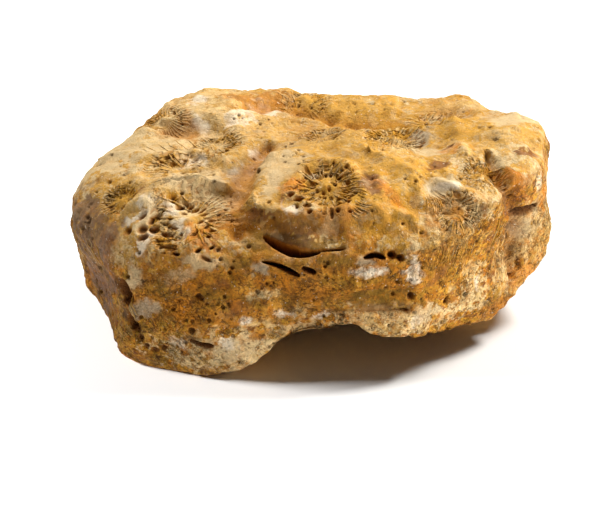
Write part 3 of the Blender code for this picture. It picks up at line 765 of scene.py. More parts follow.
def poreTree():
    start, end = newTree("pores", {**pores, "Material": "Material"})
    place = start.node("GeometryNodeInputPosition")
    cluster = start.node("ShaderNodeTexNoise", {},
                         {"Vector": place, "Scale": 1.0 / start.other("Cluster"), "Detail": 2.0})
    fade = start.node("GeometryNodeInputNamedAttribute", {}, {"Name": "padFade"})
    spread = start.node("GeometryNodeDistributePointsOnFaces", {"distribute_method": "RANDOM"},
                        {"Mesh": start, "Density": start.other("Density") * cluster.step(0.46, 0.68) * fade,
                         "Seed": start.other("Seed")})
    sizes = start.node("FunctionNodeRandomValue", {"data_type": "FLOAT"}, {"Seed": start.other("Seed")}, 1)
    nearest = start.node("GeometryNodeSampleNearest", {}, {"Geometry": spread, "Sample Position": place})
    middle = start.node("GeometryNodeSampleIndex", {"data_type": "FLOAT_VECTOR"},
                        {"Geometry": spread, "Value": place, "Index": nearest})
    share = start.node("GeometryNodeSampleIndex", {"data_type": "FLOAT"},
                       {"Geometry": spread, "Value": sizes, "Index": nearest})
    radius = start.other("Smallest") + (start.other("Largest") - start.other("Smallest")) * share * share
    away = start.vector("DISTANCE", {0: place, 1: middle}, "Value") / radius
    sunk = 1.0 - away.step(0.35, 1.15)
    normal = start.node("GeometryNodeInputNormal")
    inward = start.vector("SCALE", {0: normal, "Scale": sunk * radius * start.other("Depth") * -1.0})
    marked = markPoints(start, start, "pore", sunk)
    sunken = start.node("GeometryNodeSetPosition", {}, {"Geometry": marked, "Offset": inward})
    return endTree(start, end, sunken)


# how far the ribs of a fan stray from an even row of even ribs
fanSpread = {
    "place": 0.25,  # of the space between two ribs
    "startCut": (0.0, 0.2),
    "endCut": (0.75, 1.0),
    "height": (0.6, 1.1),
}

# fans of thin ribs outside the cups:
# first rib's start and end, last rib's start and end, how many, height, width
ribFans = {
    "right of the knob cup": ((6.5, -18.6, 34), (11.4, -21.6, 32.9), (6, -17.2, 34.5),
                              (11.4, -19, 34), 4, 0.3, 0.26),
    "above the knob cup": ((7, -16.4, 34.8), (11, -17.6, 34.5), (4, -13, 35.8), (5.5, -10, 36.2),
                           7, 0.16, 0.22),
    "right under the knob cup": ((8.5, -21, 33), (12, -22.8, 32.2), (7.5, -23.6, 31.6),
                                 (9.5, -25, 31), 6, 0.2, 0.24),
    "under the right valley": ((20.5, -18.5, 33.4), (22, -24, 31), (25.5, -18, 33.8),
                               (27, -23.5, 31), 9, 0.26, 0.22),
    "right shoulder fan": ((29.5, -9, 36), (29, -19.5, 33.5), (34, -9, 35.8), (34, -16.5, 33.5),
                           7, 0.14, 0.24),
    "crest fan": ((13, 4, 37), (11, -5, 36.5), (21, 4, 37), (21, -5.5, 36), 13, 0.26, 0.24),
    "front right fan": ((24, -25, 27), (23, -26.5, 20), (31, -20, 27), (30, -20, 19), 12, 0.1, 0.2),
    "right flank fan": ((35, -16, 30), (33.5, -16.5, 20), (36, -14, 28), (35.5, -14, 20), 4, 0.12, 0.24),
    "right end fan": ((44, -2, 28), (45, -2, 16), (46, 6, 28), (46, 5, 16), 7, 0.12, 0.26),
    "left cup's lower ribs": ((-26.8, -23.4, 28.2), (-22.6, -24.4, 28.4), (-26.6, -26, 25.4),
                              (-21.8, -27, 25.6), 4, 0.5, 0.6),
    "left cleft blades": ((-32.8, -25.2, 18.5), (-30.6, -26, 10), (-31, -26, 18),
                          (-29.3, -26.4, 10.5), 4, 0.5, 0.3),
    "left flank fan": ((-38, -16, 27), (-37, -19, 14), (-42, -8, 27), (-41.5, -10, 15), 8, 0.1, 0.26),
    "top left fan": ((-32, 2, 35), (-27, -3, 34.5), (-24, 6, 36.5), (-19.5, -1.5, 35.5), 6, 0.12, 0.24),
    "back fan": ((-7, 33, 24), (-8.5, 33, 14), (1, 33, 26), (-2, 33, 19), 9, 0.16, 0.28),
}

# how the ribs and bars are grown, in metres and shares
growth = {
    "Spacing": 0.00032,  # between the points along a rib
    "Probe": 0.003,  # how far above and below its line a rib looks for the stone
    "Lowest": 0.0012,  # no rib nearer the floor than this
    "Wobble": 0.00026,
    "WobbleScale": 420.0,  # to the metre
    "Beading": 0.55,
    "BeadingScale": 900.0,
    "Thinnest": 0.35,  # a rib's width where it starts
    "Sides": 6,
    "Sink": 0.35,  # of a rib's width, below the surface
    "Bridge": 0.0005,  # how far it is lifted where it crosses a hole
}


def ribPlan():  # start, end, outward ray, height and width of every rib and bar, in millimetres
    plan = []

    def lay(start, end, out, height, width):
        plan.append((*start, *(end - start), *out, height, width))

    barHeight, barWidth = septa["barSize"]
    for name, cup in cups.items():
        out = toward(cup.place)[0]
        middle = onSurface(cup.place)[0]
        level, upward = tangents(out, 0)

        def spot(bearing, share):
            return middle + cup.radius * share * (level * math.cos(bearing) + upward * math.sin(bearing))

        for bearing, inner, outer, strength in zip(*planSepta(name)):
            width = cup.septumWidth * (septa["thinnest"] + (1.0 - septa["thinnest"]) * strength)
            lay(spot(bearing, inner), spot(bearing, outer), out, cup.septumHeight * strength, width)
        for here, after, share in planGaps(name)[1]:
            lay(spot(here, share), spot(after, share), out,
                barHeight * cup.septumHeight, barWidth * cup.septumWidth)
    for firstStart, firstEnd, lastStart, lastEnd, count, height, width in ribFans.values():
        chance = np.random.default_rng(septa["seed"] + count)
        shares = (np.arange(count) + fanSpread["place"] * chance.uniform(-1, 1, count)) / (count - 1)
        firstStart, firstEnd, lastStart, lastEnd = onSurface([firstStart, firstEnd, lastStart, lastEnd])
        for share in shares:
            start = firstStart + (lastStart - firstStart) * share
            end = firstEnd + (lastEnd - firstEnd) * share
            cutLow, cutHigh = chance.uniform(*fanSpread["startCut"]), chance.uniform(*fanSpread["endCut"])
            out = toward((start + end) / 2)[0]
            lay(start + (end - start) * cutLow, start + (end - start) * cutHigh, out,
                height * chance.uniform(*fanSpread["height"]), width)
    return np.array(plan)


def ribTree():
    start, end = newTree("ribs", {**growth, "Stone": "Object", "Material": "Material"})

    def named(name, kind="FLOAT"):
        return start.node("GeometryNodeInputNamedAttribute", {"data_type": kind}, {"Name": name})

    def scaled(vector, scale):
        return start.vector("SCALE", {0: vector, "Scale": scale})

    def cloud(scale, output):
        return start.node("ShaderNodeTexNoise", {},
                          {"Vector": place, "Scale": start.other(scale), "Detail": 1.0}, output)

    # straight ribs of points, one for each row of the plan
    run, out = named("run", "FLOAT_VECTOR"), named("outward", "FLOAT_VECTOR")
    turn = start.node("FunctionNodeAxesToRotation", {"primary_axis": "X", "secondary_axis": "Z"},
                      {"Primary Axis": run, "Secondary Axis": out})
    length = start.vector("LENGTH", {0: run}, "Value")
    size = start.node("ShaderNodeCombineXYZ", {}, {"X": length, "Y": 1.0, "Z": 1.0})
    unit = start.node("GeometryNodeCurvePrimitiveLine", {}, {"End": (1.0, 0.0, 0.0)})
    placed = start.node("GeometryNodeInstanceOnPoints", {},
                        {"Points": start, "Instance": unit, "Rotation": turn, "Scale": size})
    straight = start.node("GeometryNodeRealizeInstances", {}, {"Geometry": placed})
    beads = start.node("GeometryNodeResampleCurve", {"mode": "LENGTH"},
                       {"Curve": straight, "Length": start.other("Spacing")})

    # each point wanders a little, then drops on to the stone
    place = start.node("GeometryNodeInputPosition")
    along = start.node("GeometryNodeSplineParameter")
    swell = along.step(0.0, 0.35) * (1.0 - along.step(0.6, 1.0))
    rough = cloud("BeadingScale", "Fac")
    sway = start.vector("SUBTRACT", {0: cloud("WobbleScale", "Color"), 1: (0.5, 0.5, 0.5)})
    swayed = start.vector("ADD", {0: place, 1: scaled(sway, start.other("Wobble") * 2.0)})
    above = start.vector("ADD", {0: swayed, 1: scaled(out, start.other("Probe"))})
    stoneMesh = start.node("GeometryNodeObjectInfo", {}, {"Object": start.other("Stone")}, "Geometry")
    hit = start.node("GeometryNodeRaycast", {}, {
        "Target Geometry": stoneMesh, "Source Position": above, "Ray Direction": scaled(out, -1.0),
        "Ray Length": start.other("Probe") * 2.0}, "Hit Position")
    height = start.node("ShaderNodeSeparateXYZ", {}, {"Vector": hit}, "Z")
    missed = start.node("FunctionNodeBooleanMath", {"operation": "NOT"}, {0: hit.other("Is Hit")})
    lost = start.node("FunctionNodeBooleanMath", {"operation": "OR"},
                      {0: missed, 1: start.maths("LESS_THAN", height, start.other("Lowest"))})
    hollow = start.node("GeometryNodeSampleNearestSurface", {"data_type": "FLOAT"},
                        {"Mesh": stoneMesh, "Value": named("hollow"), "Sample Position": hit})
    thinnest = start.other("Thinnest")
    width = named("ribWidth") * (thinnest + (1.0 - thinnest) * swell)
    width = width * (1.0 + start.other("Beading") * (rough - 0.5) * 2.0)
    rise = named("ribHeight") * swell * (0.5 + rough) - width * start.other("Sink")
    rise = rise + hollow * start.other("Bridge")
    raised = start.vector("ADD", {0: hit, 1: scaled(out, rise)})
    kept = start.node("GeometryNodeDeleteGeometry", {"domain": "POINT"},
                      {"Geometry": beads, "Selection": lost})
    draped = start.node("GeometryNodeSetPosition", {}, {"Geometry": kept, "Position": raised})

    # round tubes along the points
    ring = start.node("GeometryNodeCurvePrimitiveCircle", {},
                      {"Resolution": start.other("Sides"), "Radius": 0.5})
    tubes = start.node("GeometryNodeCurveToMesh", {}, {
        "Curve": markPoints(start, draped, "rib", swell), "Profile Curve": ring,
        "Scale": width, "Fill Caps": True})
    return endTree(start, end, start.node("GeometryNodeSetShadeSmooth", {}, {"Geometry": tubes}))


def growRibs(stoneBody, material):
    plan = ribPlan()
    low, high = formBox
    scale = (boxHigh - boxLow) / (high - low)
    mesh = bpy.data.meshes.new("coral_septa")
    mesh.from_pydata([tuple(place) for place in fitToFrame(plan[:, 0:3], low, high)], [], [])
    writeLayer(mesh, "run", plan[:, 3:6] * scale)
    writeLayer(mesh, "outward", plan[:, 6:9])
    writeLayer(mesh, "ribHeight", plan[:, 9] * mm)
    writeLayer(mesh, "ribWidth", plan[:, 10] * mm)
    ribs = addToScene("coral_septa", mesh)
    runTree(ribs, ribTree(), {**growth, "Stone": stoneBody, "Material": material})
    ribs.data.name = "coral_septa"
    return ribs


palette = {
    "rust": (0.37, 0.132, 0.007),
    "brightRust": (0.56, 0.185, 0.008),
    "redBrown": (0.18, 0.060, 0.012),
    "umber": (0.055, 0.020, 0.003),
    "purpleBrown": (0.19, 0.105, 0.058),
    "greyBeige": (0.58, 0.43, 0.23),
    "grey": (0.38, 0.29, 0.18),
    "chalk": (0.80, 0.69, 0.52),
    "cream": (0.66, 0.48, 0.23),
    "tan": (0.52, 0.32, 0.11),
    "olive": (0.18, 0.093, 0.008),
    "gold": (0.50, 0.25, 0.024),
}

# how polished each colour's stone is, and how even
polish = {
    "greyBeige": (0.55, 0.75),
    "grey": (0.6, 0.75),
    "chalk": (0.2, 0.4),
    "cream": (0.15, 0.3),
    "purpleBrown": (0.3, 0.5),
    "redBrown": (0.1, 0.6),
    "umber": (0.0, 0.6),
    "olive": (0.1, 0.4),
}

# colour, place, half length, half width, turn, strength; later ones lie over earlier ones
stains = (
    ("tan", (-12, 8, 37), 36, 22, 0, 0.5),
    ("greyBeige", (-37, 2, 32), 9, 13, 0, 0.75),
    ("greyBeige", (-24, 5, 36), 12, 4, 0, 0.6),
    ("cream", (-22, 14, 37), 14, 5, 0, 0.5),
    ("gold", (12, 14, 36), 24, 5, 0, 0.6),
    ("gold", (28, 4, 37), 10, 12, 0, 0.5),
    ("cream", (26, -23, 30), 10, 5, 0, 0.6),
    ("gold", (26, -24, 22), 10, 6, 0, 0.5),
    ("rust", (-6, -30, 20), 30, 8, 0, 0.6),
    ("rust", (-23, -29, 17), 11, 8, 0, 0.7),
    ("rust", (8, -30, 22), 14, 6, 0, 0.65),
    ("tan", (42, -3, 18), 12, 17, 0, 0.65),
    ("greyBeige", (43.5, -7, 24), 4, 5, 0, 0.5),
    ("cream", (40, -9, 13), 5, 5, 0, 0.5),
    ("cream", (46, 2, 24), 5, 4, 0, 0.5),
    ("tan", (34, 24, 20), 12, 12, 0, 0.5),
    ("tan", (-43, 6, 14), 9, 8, 0, 0.5),
    ("gold", (0, 33, 18), 40, 16, 0, 0.5),
    ("tan", (-20, 30, 14), 14, 9, 0, 0.7),
    ("cream", (20, 30, 24), 12, 7, 0, 0.6),
    ("cream", (-15, -29, 6), 18, 5, 0, 0.6),
    ("greyBeige", (-12, -29, 7.5), 5, 3, 0, 0.6),
    ("cream", (17, -27, 11.5), 15, 3.6, 0, 0.6),
    ("cream", (30, -18, 14), 5, 6, 0, 0.6),
    # the left flank's dark purple-brown is partly its own colour and partly painted shade, where the flank
    # leans out over the floor
    ("purpleBrown", (-40, -13, 19), 8, 10, 0, 0.9),
    ("purpleBrown", (-36.5, -20.5, 22), 3, 7, 0, 0.8),
    ("redBrown", (-35, -22, 20), 2.4, 6, 0, 0.7),
    ("cream", (-33, -23.5, 24.5), 2, 5, 0, 0.5),
    # left top
    ("chalk", (-20.5, 9.5, 37), 2.4, 1.4, 0, 0.9),
    ("chalk", (-21, 18, 38), 2.6, 1.2, 0, 0.8),
    ("chalk", (-7, 17.5, 37), 3.6, 1.3, 0, 0.85),
    ("chalk", (-11, 10.5, 37), 4.5, 1.4, 0, 0.7),
    ("umber", (-26, 11, 37), 0.8, 0.6, 0, 1.0),
    ("rust", (-9, 19.5, 37), 7, 1.6, 0, 0.7),
    ("rust", (-23.5, 8.5, 37), 5.5, 1.2, 0, 0.6),
    ("gold", (-24, -8, 34), 5, 2.4, 0, 0.7),
    ("chalk", (-21, -5.5, 35), 1.4, 2.4, 20, 0.7),
    ("gold", (-33, -14.5, 31), 3.4, 3, 0, 0.8),
    ("umber", (-33, -16.5, 30.4), 0.9, 1.2, 0, 0.8),
    ("redBrown", (-29.3, -14.5, 32.3), 1.3, 1.1, 0, 0.9),
    # plateau and gully
    ("tan", (-18.5, -14.5, 33.3), 9, 5, 10, 0.8),
    ("greyBeige", (-18.5, -14.5, 33.3), 7.5, 4.4, 10, 0.8),
    ("chalk", (-29.6, -20, 29.4), 1.3, 2.4, -30, 0.75),
    ("chalk", (-27.4, -17.4, 31.4), 1.2, 2.4, -35, 0.75),
    ("cream", (-25, -14.6, 32.8), 2.6, 1.2, 30, 0.8),
    ("cream", (-19.5, -12.2, 34), 4, 1, 0, 0.6),
    ("greyBeige", (-15, -18.5, 32), 2.4, 2.4, 0, 0.7),
    ("gold", (-24.2, -16.2, 32.3), 3, 1.3, 0, 0.8),
    ("umber", (-23.2, -15.9, 32.5), 0.8, 0.5, 0, 0.8),
    ("grey", (-11, -9, 35.5), 2.2, 6, 0, 0.85),
    ("purpleBrown", (-10.3, -7.4, 35.7), 1.2, 2.2, 0, 0.7),
    ("chalk", (-13, -9.6, 35), 1.2, 1.2, 0, 0.9),
    ("chalk", (-11.4, -7, 35.6), 0.8, 1.6, -30, 0.8),
    ("chalk", (-9.2, -2.2, 36.2), 1.4, 2, -30, 0.9),
    ("umber", (-13.4, -7.2, 35.4), 0.7, 0.5, 0, 0.8),
    # left cup
    ("cream", (-21.5, -21.5, 30.8), 5.5, 4.5, 0, 0.7),
    ("chalk", (-24.2, -19.6, 30.9), 1.6, 1.2, -40, 0.9),
    ("chalk", (-22.2, -22.8, 29.6), 1.7, 1.5, 45, 0.9),
    ("chalk", (-21.2, -24.8, 28.4), 1.1, 1.3, 50, 0.9),
    ("gold", (-19.6, -21.4, 30.6), 1.3, 2.6, 0, 0.8),
    ("brightRust", (-18.6, -25.6, 28), 3.4, 1.8, -30, 0.9),
    ("redBrown", (-17, -26.6, 27.4), 2.4, 1.4, -30, 0.7),
    ("greyBeige", (-29.5, -22.6, 27.6), 2.4, 2.6, 0, 0.7),
    ("chalk", (-28.7, -24.6, 26.1), 1.4, 2.2, 0, 0.8),
    # knob
    ("gold", (9, -15, 35), 18, 10, 0, 0.7),
    ("gold", (3, -5, 36), 16, 6, 0, 0.4),
    ("rust", (12, -24, 31), 16, 3, 0, 0.5),
    ("rust", (6, -25.5, 30), 18, 3.4, 0, 0.8),
    ("rust", (-9, -24, 30), 9, 3, 0, 0.8),
    ("gold", (15, -22, 32), 6, 4, 0, 0.6),
    ("greyBeige", (-4.6, -11, 35.8), 5, 4.4, 0, 0.7),
    ("greyBeige", (-6, -16.5, 34.2), 1.8, 4, 0, 0.7),
    ("gold", (6, -9.5, 36.5), 8, 3, 0, 0.4),
    ("gold", (5, -18, 34.5), 5.5, 4.5, 0, 0.6),
    ("gold", (6, -22, 32.6), 5, 2.2, 0, 0.7),
    ("brightRust", (-2.4, -18, 34), 1.9, 2.2, 0, 0.95),
    ("redBrown", (-2.2, -20.2, 33.2), 1.9, 1, 0, 0.8),
    ("chalk", (1.6, -14.6, 35.3), 0.8, 0.7, 0, 0.9),
    ("chalk", (3, -17.8, 34.3), 0.6, 0.5, 0, 0.8),
    ("rust", (2, -24.4, 30.8), 11, 2.2, 0, 0.85),
    # partly painted shade under the knob's brow
    ("olive", (0, -25.3, 29.8), 8, 1.4, 0, 0.6),
    ("chalk", (-2, -22.8, 31.6), 1.9, 1.2, -20, 0.9),
    ("redBrown", (12.3, -17.8, 34.4), 2.4, 2.4, 0, 1.0),
    ("brightRust", (15.4, -20.5, 33.4), 1.2, 3.6, 0, 0.8),
    ("redBrown", (-8.5, -22.4, 31), 5, 1.8, 0, 0.9),
    ("umber", (-10.5, -23.6, 30.2), 3, 0.8, 0, 0.6),
    ("olive", (-9, -26, 28), 5, 1.8, 0, 0.9),
    # partly painted shade under the knob's brow
    ("redBrown", (1, -25.8, 29.4), 8, 2, 0, 0.75),
    ("rust", (6, -25.2, 30.4), 9, 1.6, 0, 0.7),
    ("gold", (14, -24.5, 30), 6, 2.4, 0, 0.6),
    # the dark band along the slits under the knob is partly painted shade
    ("umber", (-1.4, -26.3, 27.9), 6.5, 0.9, 0, 0.8),
    ("redBrown", (0, -27.2, 27.2), 6, 1.5, 0, 0.85),
    ("umber", (-1, -26.9, 27.6), 6, 1.2, -8, 0.7),
    ("olive", (3, -27.2, 27.4), 4, 1.2, 0, 0.7),
    # crest and right top
    ("gold", (17, 0, 37), 6, 4.5, 0, 0.6),
    ("cream", (17.5, -2.5, 36.6), 5, 1.6, 0, 0.6),
    ("grey", (22.3, 2.2, 36.8), 2.6, 2, 0, 1.0),
    ("greyBeige", (23, -4, 36), 3, 2.4, 0, 0.9),
    ("redBrown", (27, -2.2, 36.4), 0.9, 0.8, 0, 1.0),
    ("brightRust", (28, -4.5, 36.3), 1.6, 2.2, 0, 0.6),
    ("redBrown", (23.8, -10.8, 35.8), 2, 0.9, 0, 0.95),
    ("greyBeige", (24, -16.8, 34), 3, 1.8, 0, 0.9),
    ("chalk", (26.6, -17, 34.4), 2.6, 0.7, -20, 0.8),
    ("umber", (32.4, -20.6, 32), 0.6, 0.7, 0, 0.8),
    ("redBrown", (32.8, -21.1, 29.6), 0.6, 1.8, 0, 0.7),
    ("greyBeige", (39.5, 9, 38.5), 5, 3.4, 0, 0.85),
    ("redBrown", (40.4, -4.8, 36), 2.2, 1.9, 0, 1.0),
    ("redBrown", (39.4, -12.6, 33.6), 1.4, 3.6, 0, 0.6),
    ("brightRust", (37.6, -12, 32), 1.4, 4.5, 0, 0.6),
    ("chalk", (43.3, -7.9, 31.4), 1, 1.6, 0, 0.4),
    ("brightRust", (45, -2.7, 28), 1.4, 3, 0, 0.8),
    ("purpleBrown", (36.2, -14.2, 31), 1, 4, 0, 0.6),
    ("tan", (27, 16, 36), 5, 4, 0, 0.7),
    # front left
    ("greyBeige", (-30.6, -26.6, 20.4), 1.6, 2.4, 0, 0.9),
    ("umber", (-33.4, -24, 17.2), 1.5, 2.4, 0, 0.95),
    ("umber", (-32.7, -23.4, 11.4), 1.6, 1.6, 0, 0.85),
    ("grey", (-28.9, -27, 14.2), 1.8, 2.6, -20, 0.9),
    ("brightRust", (-20.5, -29.5, 15), 3, 2, 0, 0.8),
    ("brightRust", (-21, -29.7, 20.4), 2.6, 2, 20, 0.7),
    ("olive", (-25, -28.4, 19.5), 2.6, 1.6, 0, 0.7),
    ("greyBeige", (-17.5, -29, 24.6), 4, 1.3, 0, 0.75),
    ("olive", (-12, -29.4, 24.5), 3, 1.2, 0, 0.8),
    ("grey", (-8, -30, 23.4), 1.5, 1.5, 0, 0.95),
    ("greyBeige", (-22, -28.6, 22), 2.6, 1.3, 30, 0.6),
    ("olive", (-16, -30, 18.5), 3, 1.6, 0, 0.7),
    ("redBrown", (-14.8, -30, 20.6), 1.6, 1, 0, 0.8),
    ("redBrown", (-12.4, -30, 16), 2.2, 1.5, 0, 0.8),
    ("umber", (-9.9, -30.2, 17.7), 0.9, 0.6, 0, 0.8),
    ("cream", (-8.6, -30.3, 18.4), 1.7, 1, 0, 0.8),
    ("cream", (-6.2, -30.3, 18.8), 1.8, 1.1, 0, 0.85),
    ("chalk", (-3.8, -29.9, 14.2), 1.2, 0.8, 0, 0.9),
    ("chalk", (2.9, -29.9, 13.8), 1.8, 0.7, 0, 0.85),
    ("chalk", (-10.7, -29.9, 13.6), 1, 0.7, 0, 0.8),
    ("brightRust", (-21.7, -27.5, 5.9), 0.9, 0.8, 0, 0.9),
    ("rust", (-29.5, -22, 3), 4, 1.2, 0, 0.7),
    ("gold", (-33.5, -19.5, 7), 4, 3, 0, 0.7),
    ("gold", (-25, -27.6, 8.8), 3, 1, 0, 0.8),
    ("rust", (-8.3, -29.4, 10.4), 1.5, 1.1, 0, 0.9),
    ("umber", (-20, -29, 9.6), 1.4, 0.35, -15, 0.8),
    ("umber", (-18, -28.8, 7.8), 1.8, 0.3, -10, 0.8),
    ("chalk", (-14.3, -29.2, 9), 1.6, 1.6, 20, 0.6),
    ("chalk", (-23, -27.6, 8), 1.8, 1, 0, 0.6),
    # front right
    ("brightRust", (0, -30.5, 20.7), 5, 2, 0, 0.7),
    ("gold", (7, -30.4, 21), 4, 2, 0, 0.6),
    ("olive", (5, -29, 25), 3, 0.9, 0, 0.7),
    ("grey", (10.8, -29.5, 24.6), 1.6, 0.8, 0, 0.9),
    ("chalk", (11.2, -30, 23), 3.2, 0.9, 0, 0.95),
    ("chalk", (19.4, -28.6, 22.4), 1.7, 2.4, 20, 0.85),
    ("olive", (12.5, -28.4, 17.4), 7, 1.9, 0, 0.95),
    ("umber", (14.5, -28.2, 15.2), 4, 0.5, 0, 0.8),
    ("chalk", (19.6, -26.3, 12.1), 1.2, 1.1, 0, 0.8),
    ("greyBeige", (22, -24.8, 13), 3, 2, 0, 0.7),
    ("redBrown", (25.5, -25, 20.8), 3.8, 0.8, 30, 0.8),
    ("chalk", (31, -16.4, 15.3), 0.7, 1.6, 0, 0.7),
    ("rust", (33.5, -10, 9), 4, 2.4, 0, 0.8),
    ("redBrown", (34.2, -17, 23.8), 0.9, 3.4, 0, 0.6),
    ("brightRust", (41, -4, 12), 4, 3, 0, 0.6),
    ("greyBeige", (41.3, -8.3, 22), 1.8, 2, 0, 0.7),
    ("olive", (36.5, -13, 27), 1.6, 5, 0, 0.4),
    # sides and back
    ("rust", (-43, 4, 20), 5, 7, 0, 0.6),
    ("chalk", (-40, 12, 24), 3, 2, 0, 0.7),
    ("redBrown", (-30, 24, 18), 5, 3, 20, 0.7),
    ("rust", (-8, 33, 24), 8, 4, 0, 0.7),
    ("chalk", (6, 33, 14), 4, 2, 0, 0.7),
    ("redBrown", (24, 30, 16), 4, 5, 0, 0.6),
    ("greyBeige", (34, 24, 26), 5, 5, 0, 0.7),
    ("rust", (44, 8, 20), 6, 5, 0, 0.6),
    ("cream", (44, 14, 10), 5, 3, 0, 0.7),
    ("greyBeige", (0, 30, 7), 14, 4, 0, 0.7),
    ("purpleBrown", (-24, 27, 8), 7, 3, 0, 0.6),
    ("grey", (4, 4, 2), 20, 12, 0, 0.5),
    ("rust", (-10, -10, 3), 8, 6, 0, 0.6),
)

paint = {
    "edge": (1.25, 0.75),  # a stain fades in from the first to the second, in half lengths
    "edgeNoise": ((4.0, 0.3), (1.6, 0.45), (0.7, 0.5)),  # wavelength, strength
    "edgeSeed": 40,
    "depth": 0.7,  # higher keeps a stain closer to the surface at its own place
}


def paintStains(mesh):  # for each point: a colour and its cover, how polished it is, how even
    low, high = formBox
    points = low + (readPoints(mesh, "co") - boxLow) * (high - low) / (boxHigh - boxLow)
    ragged = sum(size * noise(points, wavelength, paint["edgeSeed"] + number)
                 for number, (wavelength, size) in enumerate(paint["edgeNoise"]))
    colour, cover, finishes = np.zeros((len(points), 3)), np.zeros(len(points)), np.zeros((len(points), 2))
    for shade, place, halfLength, halfWidth, turn, strength in stains:
        along, up, out = around(points, place, turn)
        share = np.hypot(along / halfLength, up / halfWidth)
        share = np.hypot(share, paint["depth"] * out / max(halfLength, halfWidth))
        laid = strength * smoothStep(share + ragged, *paint["edge"])
        total = np.maximum(cover + laid - cover * laid, 1e-6)
        mix = (laid / total)[:, None]
        colour = colour * (1.0 - mix) + np.array(palette[shade]) * mix
        finishes += (np.array(polish.get(shade, (0.0, 0.0))) - finishes) * laid[:, None]
        cover = total
    writeLayer(mesh, "stain", np.column_stack([colour, cover]))
    writeLayer(mesh, "gloss", finishes[:, 0])
    writeLayer(mesh, "even", finishes[:, 1])


finish = {
    "roughness": 0.78,
    "wornRoughness": 0.42,  # where the stone is polished
    "shine": 0.16,
    "bump": 0.9,
    "bumpDistance": 0.0006,
    "radialRibs": 34,  # fine ribs drawn round each cup, a whole number
    "radialReach": 1.6,  # cup radii
    "crossSpacing": 0.8,  # millimetres between the fine bars
    "grainContrast": 1.5,
    "cloudRoughness": 0.62,  # of the noise that colours the stone
    # the bare stone's colours, from where its noise is low to where it is high
    "sideColours": ((0.40, "redBrown"), (0.46, "rust"), (0.51, "gold"), (0.54, "rust"), (0.58, "gold")),
    "topColours": ((0.38, "gold"), (0.44, "tan"), (0.49, "gold"), (0.52, "tan"), (0.56, "greyBeige"),
                   (0.63, "cream")),
}

# how strongly each layer of colour covers the ones before it
covers = {
    "stains": 0.92,
    "radialRibs": 0.35,
    "radialHoles": 0.5,
    "lowTint": 0.6,
    "veins": 0.7,
    "cracks": 0.6,
    # white crystal specks, partly painted glints
    "crystalGlints": 0.5,
    "septa": 0.6,
    # painted shade, partly dirt, in the hollows and pores
    "hollowDirtAndShade": 0.75,
    "hollowDeepShade": 0.8,
    "poreShade": 0.5,
}

# patches of colour, fainter over the stains:
# colour, millimetres across, start, full, strength in front, strength on top
mottles = (
    ("greyBeige", 4.5, 0.55, 0.60, 0.1, 0.5),
    ("olive", 3.8, 0.52, 0.57, 0.7, 0.0),
    ("redBrown", 3.4, 0.56, 0.62, 0.7, 0.1),
    ("gold", 2.6, 0.54, 0.60, 0.6, 0.6),
    ("cream", 2.2, 0.60, 0.64, 0.1, 0.4),
    ("brightRust", 1.7, 0.56, 0.62, 0.7, 0.25),
    ("umber", 1.8, 0.60, 0.65, 0.8, 0.0),
)


def rgb(name):
    return (*palette[name], 1.0)


